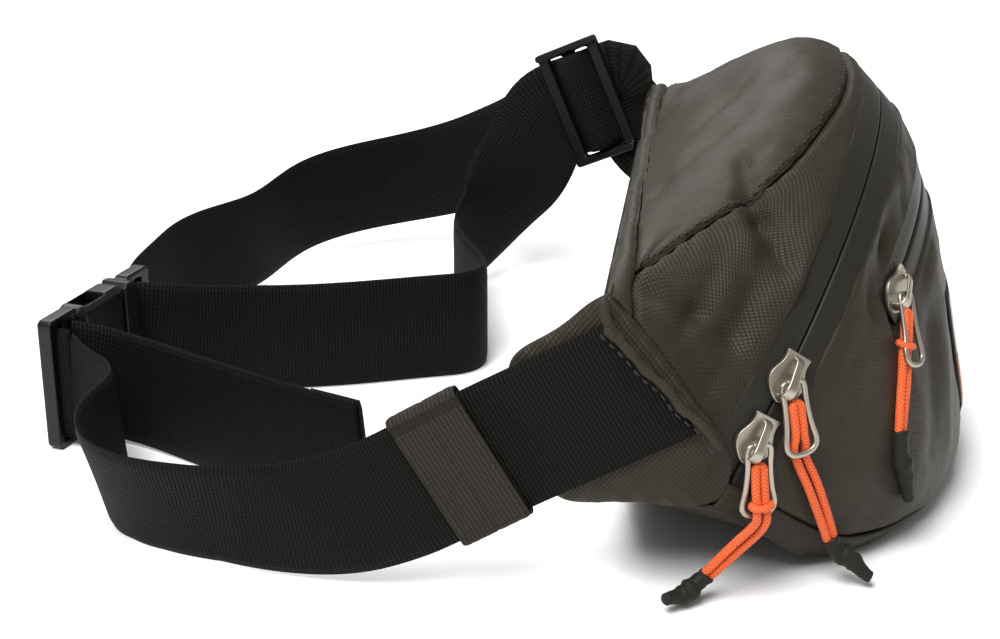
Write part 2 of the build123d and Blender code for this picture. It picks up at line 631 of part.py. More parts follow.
with BuildPart() as buckle_female:
    with BuildSketch(buckle_plane.offset(-LADDER_T / 2)):
        with Locations((LADDER_L / 2 + 1, 0)):
            RectangleRounded(LADDER_L + 2, BUCKLE_W, 2)
    extrude(amount=LADDER_T)
    with BuildSketch(buckle_plane.offset(-BUCKLE_H / 2)):
        with Locations(((LADDER_L + FEMALE_L) / 2, 0)):
            RectangleRounded(FEMALE_L - LADDER_L, BUCKLE_W, 3)
    extrude(amount=BUCKLE_H)
    chamfer(buckle_female.edges().filter_by(GeomType.LINE).filter_by(
        lambda e: abs(e.tangent_at(0).dot(buckle_plane.x_dir)) > 0.99 and e.length > 15), 2.2)
    with BuildSketch(buckle_plane.offset(-MOUTH_T / 2)):
        with Locations(((WINDOW[0] - 3 + FEMALE_L + 1) / 2, 0)):
            Rectangle(FEMALE_L + 1 - WINDOW[0] + 3, CAVITY_W)
        with Locations((sum(WINDOW) / 2, 0)):
            RectangleRounded(WINDOW[1] - WINDOW[0], BUCKLE_W + 2, 1.0)
    extrude(amount=MOUTH_T, mode=Mode.SUBTRACT)
    with BuildSketch(buckle_plane.offset(-BUCKLE_H)):
        for slot_at in (5.1, 12.1):
            with Locations((slot_at, SLOT_SHIFT)):
                RectangleRounded(4.2, SLOT_W, 0.8)
    extrude(amount=2 * BUCKLE_H, mode=Mode.SUBTRACT)
save(buckle_female, "buckle_female", "black")

MALE_BODY = (FEMALE_L + FIT, 48.5)
MALE_END = 60.0
PRONG_ROOT_R = 2.3
PRONG_AT = 14.2
GUIDE_W, GUIDE_TIP = 6.4, 20.0
with BuildPart() as buckle_male:
    with BuildSketch(buckle_plane.offset(-BUCKLE_H / 2 + 0.5)):
        with BuildLine():
            half = [(MALE_BODY[0], 19.6), (42.5, 21.4), (45.4, 21.2), (47.6, 19.4), (MALE_BODY[1], 17.0)]
            Polyline(*half, *[(u, -v) for u, v in reversed(half)], close=True)
        make_face()
    extrude(amount=BUCKLE_H - 1)
    with BuildSketch(buckle_plane.offset(-LADDER_T / 2)):
        with Locations(((MALE_BODY[1] + MALE_END) / 2 - 1.5, 0)):
            RectangleRounded(MALE_END - MALE_BODY[1] + 3, BUCKLE_W, 2.5)
        with Locations(((MALE_BODY[0] + GUIDE_TIP) / 2, 0)):
            RectangleRounded(MALE_BODY[0] - GUIDE_TIP + 1, GUIDE_W, 1.2)
    extrude(amount=LADDER_T)
    with BuildSketch(buckle_plane.offset(-BUCKLE_H)):
        with Locations((52.2, SLOT_SHIFT)):
            RectangleRounded(4.6, SLOT_W, 0.8)
        with Locations((MALE_END - 0.6, SLOT_SHIFT)):
            Rectangle(3.4, SLOT_W, align=(Align.MIN, Align.CENTER))
    extrude(amount=2 * BUCKLE_H, mode=Mode.SUBTRACT)
save(buckle_male, "buckle_male", "black")

for name, sign in (("upper", 1), ("lower", -1)):
    with BuildPart() as prong:
        with BuildSketch(buckle_plane.offset(-LADDER_T / 2)):
            root = MALE_BODY[0] - PRONG_ROOT_R
            with Locations((root, sign * PRONG_AT)):
                Circle(PRONG_ROOT_R)
            with BuildLine():
                corners = [(root, 16.5), (29.4, 16.2), (29.4, 18.1), (24.5, 18.0), (19.6, 14.6),
                           (19.0, 11.6), (25.0, 12.6), (root, 11.9)]
                Polyline(*[(u, sign * v) for u, v in corners], close=True)
            make_face()
        extrude(amount=LADDER_T)
    save(prong, f"buckle_prong_{name}", "black")

# ---------------------------------------------------------------- tri-glide adjuster
GLIDE_L, GLIDE_W, GLIDE_T = 26.0, 46.0, 3.0
glide_plane = Plane(GLIDE, x_dir=glide_way, z_dir=glide_left)
with BuildPart() as tri_glide:
    with BuildSketch(glide_plane.offset(-GLIDE_T / 2)):
        RectangleRounded(GLIDE_L, GLIDE_W, 3)
        with Locations((-5.6, 0), (5.6, 0)):
            RectangleRounded(6.4, SLOT_W, 0.8, mode=Mode.SUBTRACT)
    extrude(amount=GLIDE_T)
    with BuildSketch(glide_plane.offset(-GLIDE_T / 2)):
        with Locations((0, GLIDE_W / 2 - 1.4), (0, -GLIDE_W / 2 + 1.4)):
            RectangleRounded(GLIDE_L, 2.8, 1.2)
    extrude(amount=GLIDE_T + 2.0)
save(tri_glide, "tri_glide", "black")
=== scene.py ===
"""Waist-worn throw rope bag: coated ripstop pack, waterproof zips, corded pulls and a webbing belt.

Lengths in the lists are millimetres, +Z up, the belt loop towards +Y and the pack's front
towards -Y. Meshes are made in metres.
"""
import math

import bpy
import numpy as np
from bpy.props import FloatProperty, FloatVectorProperty, IntProperty, PointerProperty
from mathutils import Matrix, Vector, noise


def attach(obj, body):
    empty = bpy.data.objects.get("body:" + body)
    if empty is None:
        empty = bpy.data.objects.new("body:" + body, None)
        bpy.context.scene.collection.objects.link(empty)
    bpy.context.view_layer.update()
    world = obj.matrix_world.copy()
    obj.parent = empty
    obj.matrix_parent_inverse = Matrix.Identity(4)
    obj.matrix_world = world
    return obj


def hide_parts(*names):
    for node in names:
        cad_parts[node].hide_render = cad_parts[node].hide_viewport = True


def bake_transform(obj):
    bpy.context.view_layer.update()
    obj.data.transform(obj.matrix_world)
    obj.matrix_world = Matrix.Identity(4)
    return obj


bl_info = {
    "name": "Throw Rope Waist Bag",
    "version": (1, 0, 0),
    "blender": (4, 5, 0),
    "location": "View3D > Sidebar > Rope Bag",
    "description": "Builds the fabric, zips, pulls, belt and stage around the packed frame",
    "category": "Object",
}

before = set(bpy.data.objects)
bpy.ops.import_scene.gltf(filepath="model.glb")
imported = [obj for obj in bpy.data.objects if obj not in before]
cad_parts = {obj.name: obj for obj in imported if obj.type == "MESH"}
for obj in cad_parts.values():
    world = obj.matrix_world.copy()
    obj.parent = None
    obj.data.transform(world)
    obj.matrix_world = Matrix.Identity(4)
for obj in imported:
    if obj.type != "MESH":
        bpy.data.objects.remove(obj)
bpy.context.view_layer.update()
MM = 0.001

# ------------------------------------------------------------------ shape of the pack
HALF_WIDTH, CHEEK = 115.0, 113.4
BACK_Y = 50.0
OUTLINES = {
    0.0: [(0, 91), (26, 118), (56, 129), (69, 121), (74.5, 115), (88.3, 90), (95.5, 67),
          (100.5, 44), (105, 22), (104, 6), (99, 1)],
    40.0: [(0, 91), (24, 112), (50, 121.8), (64, 116), (71, 109), (83.5, 86), (93, 55),
           (99.8, 22), (97.5, 6), (92, 1)],
    56.0: [(0, 91), (21, 107), (43, 115), (58, 110.5), (67.5, 102.2), (73.5, 88), (78.2, 73.6),
           (86, 54), (94, 28), (94.5, 16), (91, 4), (86, 1)],
    70.0: [(0, 91), (18, 102), (37, 107.5), (54, 103), (63.3, 94), (70.5, 78), (76, 65),
           (82.5, 46), (88.5, 24), (85, 7), (80, 2)],
    90.0: [(0, 90.5), (9, 94), (20, 95), (54, 76), (63, 62), (68, 42), (69.5, 22), (65, 8), (58, 3)],
    104.0: [(0, 90), (5, 90.5), (14, 88), (43.6, 55), (48, 46), (49.5, 37), (49, 27), (43, 17)],
    HALF_WIDTH: [(0, 88), (5, 81), (10, 74), (26, 53), (30, 47), (31, 43), (30, 37), (27, 31)],
}
BACK_LOW = {0.0: 7, 40.0: 8, 56.0: 9, 70.0: 12, 90.0: 20, 104.0: 27, HALF_WIDTH: 30}
YOKE_SEAM = [(-4, 88), (8, 91.5), (22, 97.5), (35, 104), (47, 111), (57, 118.5), (66, 128), (70, 136)]
EDGE_BAND, EDGE_BAND_AT_ENDS = 3.6, 7.0

MAIN_ZIP = dict(tilt=27.0, depth=22.4, z=13.7, radius=114.0, lean=20.0, end=81.0, seams=(-7.5, 6.5))
POCKET_ZIP = dict(tilt=30.0, depth=44.0, z=14.8, radius=88.0, lean=40.0, end=45.0, seams=(-6.2, 6.2))
POCKET_HALF = 67.5
SLIT = 0.2

OUTLINE_SAMPLES, COLUMNS = 360, 190
SEAM_ROWS = (0.0, 0.35, 0.8, 1.4, 2.2, 3.4, 5.0)  # rows of mesh beside a seam, from its fold


def spline(knots, values, at):
    """Smooth curve through the values at the knots, read at the places in at."""
    knots, at = np.asarray(knots, float), np.atleast_1d(np.asarray(at, float))
    values = np.asarray(values, float).reshape(len(knots), -1)
    span = np.diff(knots)
    slope = np.diff(values, axis=0) / span[:, None]
    system, right = np.eye(len(knots)), np.zeros_like(values)
    for i in range(1, len(knots) - 1):
        system[i, i - 1:i + 2] = span[i - 1], 2 * (span[i - 1] + span[i]), span[i]
        right[i] = 6 * (slope[i] - slope[i - 1])
    bend = np.linalg.solve(system, right)
    k = np.clip(np.searchsorted(knots, at) - 1, 0, len(knots) - 2)
    a = ((knots[k + 1] - at) / span[k])[:, None]
    b = 1 - a
    return (a * values[k] + b * values[k + 1]
            + ((a ** 3 - a) * bend[k] + (b ** 3 - b) * bend[k + 1]) * (span[k] ** 2)[:, None] / 6)


def distances(points):
    """Distance along a line of points, from its start to each point."""
    steps = np.linalg.norm(np.diff(points, axis=0), axis=1)
    return np.concatenate([[0], np.cumsum(steps)])


def evenly(points, count):
    """Smooth line through the points, as points at equal distances."""
    points = np.asarray(points, float)
    fine = spline(distances(points), points, np.linspace(0, distances(points)[-1], 1200))
    along = distances(fine)
    places = np.linspace(0, along[-1], count)
    return np.stack([np.interp(places, along, fine[:, k]) for k in range(fine.shape[1])], axis=1)


def unit(vectors):
    return vectors / (np.linalg.norm(vectors, axis=-1, keepdims=True) + 1e-12)


def smooth(x):
    x = np.clip(x, 0, 1)
    return x * x * (3 - 2 * x)


def pack_columns():
    """The pack's surface as columns of points, each in one upright plane, from end to end."""
    xs = sorted({s * k for k in OUTLINES for s in (-1, 1)})
    keys = []
    for x in xs:
        flat = evenly(OUTLINES[abs(x)], OUTLINE_SAMPLES)
        keys.append(np.column_stack([np.full(len(flat), x), BACK_Y - flat[:, 0], flat[:, 1]]))
    keys = np.array(keys)
    steps = np.linalg.norm(np.diff(keys, axis=0), axis=2).mean(axis=1)
    knots = np.concatenate([[0], np.cumsum(steps)])
    ends = np.interp([-CHEEK, CHEEK], xs, knots)
    at = np.linspace(*ends, COLUMNS)
    columns = spline(knots, keys.reshape(len(xs), -1), at).reshape(COLUMNS, OUTLINE_SAMPLES, 3)
    columns[0, :, 0], columns[-1, :, 0] = -CHEEK, CHEEK
    low = spline(knots, [BACK_LOW[abs(x)] for x in xs], at)[:, 0]
    columns[:, :, 2] = np.maximum(columns[:, :, 2], 0.6)
    return columns, low


COLUMN, BACK_LOW_Z = pack_columns()
COLUMN_X = COLUMN[:, 0, 0]


def zip_frame(zip_):
    lean = math.radians(zip_["tilt"])
    centre = np.array([0, BACK_Y - zip_["depth"], zip_["z"]])
    return centre, np.array([0, -math.sin(lean), math.cos(lean)]), np.array([0, -math.cos(lean), -math.sin(lean)])


def zip_offset(zip_, points):
    """How far points lie in front of a zip's slit plane."""
    centre, _, axis = zip_frame(zip_)
    return (points - centre) @ axis


def tape_point(zip_, angle, offset, lift=0.0):
    """Point on a zip's tape: angle from the top, offset in front of the slit, lift off the tape."""
    centre, up, axis = zip_frame(zip_)
    c, s = math.cos(math.radians(zip_["lean"])), math.sin(math.radians(zip_["lean"]))
    radius = zip_["radius"] - offset * s / c + lift * c
    outward = np.outer(np.cos(angle), up) + np.outer(np.sin(angle), [1, 0, 0])
    return centre + axis * (offset + lift * s) + outward * np.reshape(radius, (-1, 1))


def tape_edge_at(zip_, x, offset, lift):
    """The same tape point, found by its distance from the mid-plane."""
    c, s = math.cos(math.radians(zip_["lean"])), math.sin(math.radians(zip_["lean"]))
    radius = zip_["radius"] - offset * s / c + lift * c
    return tape_point(zip_, np.arcsin(np.clip(x / radius, -1, 1)), offset, lift)


def crossings(values, start=0.0):
    """In each column, the place where the values first rise through zero past the start."""
    places = np.full(len(values), np.nan)
    for i, row in enumerate(values):
        begin = int(start[i]) if np.ndim(start) else int(start)
        over = np.nonzero((row[begin:-1] < 0) & (row[begin + 1:] >= 0))[0]
        if len(over):
            k = over[0] + begin
            places[i] = k + row[k] / (row[k] - row[k + 1])
        elif row[begin] >= 0:
            places[i] = begin
    return places


def seam_places():
    """Place of every seam on every column of the pack, as sample numbers along the column."""
    depth, height = BACK_Y - COLUMN[:, :, 1], COLUMN[:, :, 2]
    seam_depth, seam_z = np.array(YOKE_SEAM).T
    over_seam = height - spline(seam_depth, seam_z, depth.ravel()).reshape(depth.shape)
    last = np.full(COLUMNS, OUTLINE_SAMPLES - 1.0)
    seams = {"start": np.zeros(COLUMNS), "end": last}
    reach = EDGE_BAND + (EDGE_BAND_AT_ENDS - EDGE_BAND) * (np.abs(COLUMN_X) / CHEEK) ** 3
    seams["band"] = crossings(depth - reach[:, None])
    inner = np.where(depth < 70, -over_seam, 1.0)
    seams["yoke"] = crossings(inner, np.nan_to_num(seams["band"]) + 1)
    main = zip_offset(MAIN_ZIP, COLUMN)
    pocket = zip_offset(POCKET_ZIP, COLUMN)
    seams["rear"] = crossings(main - MAIN_ZIP["seams"][0])
    seams["front"] = crossings(main - MAIN_ZIP["seams"][1])
    seams["pocket_top"] = crossings(pocket - POCKET_ZIP["seams"][0])
    seams["pocket_low"] = crossings(pocket - POCKET_ZIP["seams"][1])
    for name in ("rear", "front"):
        seams[name] = np.where(np.isnan(seams[name]), last, seams[name])
    rise = 4.0 + 3.0 * smooth((np.abs(COLUMN_X) - 60) / 40)
    edge = COLUMN[:, -1, 2] + rise
    low_front = (depth > depth[:, -1:] * 0.9) | (np.arange(OUTLINE_SAMPLES) > OUTLINE_SAMPLES * 0.8)
    seams["base"] = crossings(np.where(low_front, edge[:, None] - height, -1.0))
    seams["base"] = np.where(np.isnan(seams["base"]), last - 1, seams["base"])
    for name in ("rear", "front"):
        seams[name] = np.minimum(seams[name], seams["base"])
    room = np.maximum(seams["base"] - seams["front"], 1)
    inside = np.abs(COLUMN_X) < 72
    for name in ("pocket_top", "pocket_low"):
        share = (seams[name] - seams["front"]) / room
        good = inside & ~np.isnan(share)
        share = np.interp(COLUMN_X, COLUMN_X[good], share[good])
        seams[name] = seams["front"] + np.clip(share, 0.02, 0.98) * room
    return seams


SEAMS = seam_places()


def sampled(column, place):
    """Point on a column at a fractional sample number."""
    k = np.clip(np.floor(place).astype(int), 0, OUTLINE_SAMPLES - 2)
    f = (place - k)[:, None]
    return column[k] * (1 - f) + column[k + 1] * f


def row_places(length, interior):
    """Distances across a panel, with rows gathered beside the seams at both of its edges."""
    near = np.array(SEAM_ROWS) * min(1.0, length / (2.6 * SEAM_ROWS[-1]))
    middle = np.linspace(near[-1], length - near[-1], interior + 2)[1:-1]
    return np.concatenate([near, middle, (length - near)[::-1]])


# Broad dents and folds: start, end, half-width, depth. A minus depth is a ridge.
CREASES = [
    ((-75, 15, 105), (-80, 11, 99), 2.8, 2.6),
    ((-80, 11, 99), (-86, 4, 89), 3.6, 3.0),
    ((-82, 16, 99), (-91, 12, 88), 3.4, -1.3),
    ((-87, 0, 92), (-91, 0, 80), 3.6, -1.2),
    ((-63, 17, 111), (-74, 15, 106), 2.8, 1.9),
    ((-107, 41, 88), (-104, 26, 81), 2.8, 1.8),
    ((-104, 26, 81), (-103, 17, 73), 3.4, 1.6),
    ((-107, 36, 82), (-109, 24, 68), 2.6, -1.0),
    ((-109, 31, 76), (-110, 23, 62), 2.6, 1.5),
    ((-89, 11, 90), (-102, 17, 75), 4.0, 1.9),
    ((-96, 22, 90), (-106, 30, 78), 3.2, 1.2),
    ((-55, 41, 99), (-42, 24, 113), 4.5, 1.0),
    ((-42, 24, 113), (-23, 4, 125), 5.5, 1.0),
    ((-30, 36, 110), (-12, 14, 121), 4.5, 0.8),
    ((-52, -20, 95), (-62, -26, 82), 2.6, 1.8),
    ((-40, -26, 96), (-50, -34, 84), 2.8, 1.4),
    ((-68, -16, 86), (-74, -22, 72), 2.8, 1.4),
    ((-44, -40, 56), (-62, -39, 26), 5.0, 1.5),
    ((-30, -46, 60), (-48, -46, 24), 5.0, -1.0),
    ((-75, -22, 6), (-95, -7, 42), 7.0, 1.3),
    ((-88, -18, 20), (-84, -24, 46), 6.0, -0.8),
    ((72, 15, 106), (86, 4, 90), 4.0, 2.6),
    ((89, 11, 90), (103, 18, 74), 4.0, 1.9),
    ((106, 40, 88), (104, 22, 76), 3.0, 1.7),
    ((55, 41, 99), (30, 10, 121), 5.0, 1.1),
    ((60, -24, 86), (50, -30, 96), 3.0, 1.4),
    ((50, -42, 50), (72, -34, 22), 6.0, 1.5),
    ((10, -51, 70), (30, -50, 30), 7.0, 1.2),
    ((-30, 20, 118), (30, 24, 117), 8.0, 0.9),
]


def wrinkled(points, normals, amount=1.0):
    """Points of a fabric panel with broad dents, folds and fine slack."""
    shape = points.shape
    flat, out = points.reshape(-1, 3), normals.reshape(-1, 3)
    drop = np.zeros(len(flat))
    for start, end, width, depth in CREASES:
        a, b = np.array(start, float), np.array(end, float)
        share = np.clip(((flat - a) @ (b - a)) / ((b - a) @ (b - a)), 0, 1)
        gap = np.linalg.norm(flat - (a + share[:, None] * (b - a)), axis=1)
        drop += depth * np.exp(-(gap / width) ** 2)
    slack = [noise.fractal(Vector(p) * 0.028, 0.7, 2.1, 4) for p in flat]
    return (flat - out * (amount * (drop - 0.9 * np.array(slack)))[:, None]).reshape(shape)


def outward(grid):
    return unit(np.cross(np.gradient(grid, axis=1), np.gradient(grid, axis=0)))


# ------------------------------------------------------------------ meshes
def finish_mesh(name, vertices, faces, uvs, material, body):
    """Object from points in millimetres, smooth-shaded, with cloth coordinates in metres."""
    mesh = bpy.data.meshes.new(name)
    mesh.from_pydata((np.asarray(vertices) * MM).tolist(), [], faces)
    layer = mesh.uv_layers.new(name="cloth")
    loops = np.empty(len(mesh.loops), int)
    mesh.loops.foreach_get("vertex_index", loops)
    layer.data.foreach_set("uv", (np.asarray(uvs) * MM)[loops].ravel())
    mesh.polygons.foreach_set("use_smooth", np.ones(len(mesh.polygons), bool))
    mesh.validate()
    mesh.update()
    mesh.materials.append(material)
    piece = bpy.data.objects.new(name, mesh)
    bpy.context.scene.collection.objects.link(piece)
    if body:
        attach(piece, body)
    return piece


def evened(steps, axis, reach=12):
    """Step lengths averaged with those beside them, so that a dent doesn't bend the weave."""
    weights = np.hanning(2 * reach + 1)
    weights /= weights.sum()

    def blur(line):
        return np.convolve(np.pad(line, reach, mode="edge"), weights, "valid")

    return np.apply_along_axis(blur, axis, steps)


def cloth_coordinates(grid):
    """Distances along both ways of a grid, from its middle."""
    n = len(grid)
    along = evened(np.linalg.norm(np.diff(grid, axis=0), axis=2), 1)
    across = evened(np.linalg.norm(np.diff(grid, axis=1), axis=2), 0)
    along = np.pad(np.cumsum(along, axis=0), ((1, 0), (0, 0)))
    across = np.pad(np.cumsum(across, axis=1), ((0, 0), (1, 0)))
    return np.stack([along - along[n // 2], across], axis=2)


def sheet_mesh(name, grid, thick, material, body="pack", closed=False):
    """Closed thin solid under a grid of points: outer face, inner face and edges."""
    n, m = grid.shape[:2]
    lining = grid - outward(grid) * thick
    vertices = np.concatenate([grid.reshape(-1, 3), lining.reshape(-1, 3)])
    uv = cloth_coordinates(grid).reshape(-1, 2)
    size = n * m
    faces = []
    last = m if closed else m - 1
    for i in range(n - 1):
        for j in range(last):
            k = (j + 1) % m
            a, b, c, d = i * m + j, i * m + k, (i + 1) * m + k, (i + 1) * m + j
            faces.append((a, b, c, d))
            faces.append((d + size, c + size, b + size, a + size))
    rims = [[(0, j) for j in range(m)], [(n - 1, m - 1 - j) for j in range(m)]]
    if closed:
        rims = [rim + rim[:1] for rim in rims]
    else:
        rims += [[(n - 1 - i, 0) for i in range(n)], [(i, m - 1) for i in range(n)]]
    for rim in rims:
        for (i, j), (k, l) in zip(rim, rim[1:]):
            a, b = i * m + j, k * m + l
            faces.append((b, a, a + size, b + size))
    return finish_mesh(name, vertices, faces, np.concatenate([uv, uv]), material, body)


def tube_mesh(name, path, radii, material, body, sides=12, ups=None, flat=1.0, square=1.0):
    """Closed tube along a path, with its own radius at every point.

    flat is its thickness for its width, and a square under 1 fills its corners.
    """
    path = np.asarray(path, float)
    ways = unit(np.gradient(path, axis=0))
    up = np.array([0.31, 0.17, 0.93]) if ups is None else np.asarray(ups, float)
    left = unit(np.cross(ways, up))
    rise = np.cross(left, ways)
    angles = np.linspace(0, 2 * math.pi, sides, endpoint=False)
    radii = np.broadcast_to(radii, len(path))
    wide, thick = (np.sign(f) * np.abs(f) ** square for f in (np.cos(angles), np.sin(angles)))
    rings = (path[:, None] + left[:, None] * (wide * radii[:, None])[..., None]
             + rise[:, None] * (thick * radii[:, None] * flat)[..., None])
    vertices = rings.reshape(-1, 3)
    along = np.repeat(distances(path), sides)
    around = np.tile(angles, len(path)) * np.repeat(radii, sides)
    faces = [(i * sides + j, i * sides + (j + 1) % sides, (i + 1) * sides + (j + 1) % sides, (i + 1) * sides + j)
             for i in range(len(path) - 1) for j in range(sides)]
    faces.append(tuple(range(sides))[::-1])
    faces.append(tuple((len(path) - 1) * sides + j for j in range(sides)))
    return finish_mesh(name, vertices, faces, np.column_stack([along, around]), material, body)


def stitch_row(name, points, normals, material, body="pack", pitch=2.5, length=1.7, radius=0.27):
    """Row of short raised stitches along a line of points on a surface."""
    along = distances(points)
    count = int(along[-1] / pitch)
    vertices, faces, uvs = [], [], []
    ring = np.linspace(0, 2 * math.pi, 6, endpoint=False)
    for k in range(count):
        middle = (k + 0.5) * along[-1] / count
        base = len(vertices)
        for step, (share, fat, lift) in enumerate(((-0.5, 0.45, -0.16), (-0.22, 1, 0.12), (0.22, 1, 0.12), (0.5, 0.45, -0.16))):
            at = middle + share * length
            p = np.array([np.interp(at, along, points[:, i]) for i in range(3)])
            n = unit(np.array([np.interp(at, along, normals[:, i]) for i in range(3)]))
            ahead = np.array([np.interp(at + 0.3, along, points[:, i]) for i in range(3)]) - p
            if np.linalg.norm(ahead) < 1e-6:
                ahead = p - np.array([np.interp(at - 0.3, along, points[:, i]) for i in range(3)])
            side = unit(np.cross(unit(ahead), n))
            for a in ring:
                vertices.append(p + n * (lift + math.sin(a) * radius * fat * 0.8) + side * math.cos(a) * radius * fat)
                uvs.append((at, a * radius))
        for step in range(3):
            for j in range(6):
                a, b = base + step * 6 + j, base + step * 6 + (j + 1) % 6
                faces.append((a, b, b + 6, a + 6))
        faces.append(tuple(base + j for j in reversed(range(6))))
        faces.append(tuple(base + 18 + j for j in range(6)))
    return finish_mesh(name, vertices, faces, uvs, material, body)


# ------------------------------------------------------------------ shader groups
def new_group(name, inputs, outputs):
    """Empty node group with its sockets, and its input and output nodes."""
    tree = bpy.data.node_groups.new(name, "ShaderNodeTree")
    for label, kind, default in inputs:
        socket = tree.interface.new_socket(label, in_out="INPUT", socket_type=kind)
        if default is not None:
            socket.default_value = default
    for label, kind in outputs:
        tree.interface.new_socket(label, in_out="OUTPUT", socket_type=kind)
    return tree, tree.nodes.new("NodeGroupInput").outputs, tree.nodes.new("NodeGroupOutput").inputs


def calc(tree, operation, *values):
    """Math node; each value is a socket or a number."""
    node = tree.nodes.new("ShaderNodeMath")
    node.operation = operation
    for socket, value in zip(node.inputs, values):
        if isinstance(value, (int, float)):
            socket.default_value = value
        else:
            tree.links.new(value, socket)
    return node.outputs[0]


def noise_value(tree, vector, scale, detail=3.0, rough=0.55):
    node = tree.nodes.new("ShaderNodeTexNoise")
    node.inputs["Detail"].default_value = detail
    node.inputs["Roughness"].default_value = rough
    tree.links.new(vector, node.inputs["Vector"])
    if isinstance(scale, (int, float)):
        node.inputs["Scale"].default_value = scale
    else:
        tree.links.new(scale, node.inputs["Scale"])
    return node.outputs["Fac"]


def honeycomb_group():
    """Raised diamonds of a coated ripstop, softened in patches."""
    tree, given, out = new_group(
        "Honeycomb Grain",
        [("Cloth", "NodeSocketVector", None), ("Pitch", "NodeSocketFloat", 0.0013)],
        [("Height", "NodeSocketFloat"), ("Painted Hollow Shade", "NodeSocketFloat")])
    split = tree.nodes.new("ShaderNodeSeparateXYZ")
    tree.links.new(given["Cloth"], split.inputs[0])
    turns = calc(tree, "DIVIDE", math.pi, given["Pitch"])
    u = calc(tree, "MULTIPLY", split.outputs[0], turns)
    v = calc(tree, "MULTIPLY", calc(tree, "MULTIPLY", split.outputs[1], turns), 0.8)
    one = calc(tree, "ABSOLUTE", calc(tree, "SINE", calc(tree, "ADD", u, v)))
    two = calc(tree, "ABSOLUTE", calc(tree, "SINE", calc(tree, "SUBTRACT", u, v)))
    cell = calc(tree, "MULTIPLY", one, two)
    height = calc(tree, "POWER", cell, 0.6)
    patch = noise_value(tree, given["Cloth"], 60.0)
    tree.links.new(calc(tree, "MULTIPLY", height, calc(tree, "ADD", patch, 0.45)), out["Height"])
    tree.links.new(calc(tree, "SUBTRACT", 1.0, height), out["Painted Hollow Shade"])
    return tree


def rib_group():
    """Cross ribs of woven tape, staggered from one warp yarn to the next."""
    tree, given, out = new_group(
        "Cross Ribs",
        [("Cloth", "NodeSocketVector", None), ("Rib", "NodeSocketFloat", 0.001), ("Yarn", "NodeSocketFloat", 0.0008)],
        [("Height", "NodeSocketFloat"), ("Painted Hollow Shade", "NodeSocketFloat")])
    split = tree.nodes.new("ShaderNodeSeparateXYZ")
    tree.links.new(given["Cloth"], split.inputs[0])
    u = calc(tree, "MULTIPLY", calc(tree, "DIVIDE", split.outputs[0], given["Rib"]), math.pi)
    yarn = calc(tree, "DIVIDE", split.outputs[1], given["Yarn"])
    stagger = calc(tree, "MULTIPLY", calc(tree, "FLOORED_MODULO", calc(tree, "FLOOR", yarn), 2.0), 0.3)
    rib = calc(tree, "ABSOLUTE", calc(tree, "SINE", calc(tree, "ADD", u, stagger)))
    lane = calc(tree, "ABSOLUTE", calc(tree, "SINE", calc(tree, "MULTIPLY", yarn, math.pi)))
    height = calc(tree, "MULTIPLY", calc(tree, "POWER", rib, 0.7), calc(tree, "ADD", calc(tree, "MULTIPLY", lane, 0.35), 0.65))
    tree.links.new(height, out["Height"])
    tree.links.new(calc(tree, "SUBTRACT", 1.0, height), out["Painted Hollow Shade"])
    return tree


def handling_group():
    """Slow and fine variation that use leaves on a finish, from 0 to 1."""
    tree, given, out = new_group(
        "Handling",
        [("Place", "NodeSocketVector", None), ("Scale", "NodeSocketFloat", 25.0)],
        [("Broad", "NodeSocketFloat"), ("Fine", "NodeSocketFloat")])
    tree.links.new(noise_value(tree, given["Place"], given["Scale"], 4.0), out["Broad"])
    fine = calc(tree, "MULTIPLY", given["Scale"], 22.0)
    tree.links.new(noise_value(tree, given["Place"], fine, 2.0), out["Fine"])
    return tree


def shared_group(name, build):
    return bpy.data.node_groups.get(name) or build()


def place_group(tree, group, **values):
    node = tree.nodes.new("ShaderNodeGroup")
    node.node_tree = group
    for label, value in values.items():
        if isinstance(value, (int, float)):
            node.inputs[label].default_value = value
        else:
            tree.links.new(value, node.inputs[label])
    return node.outputs


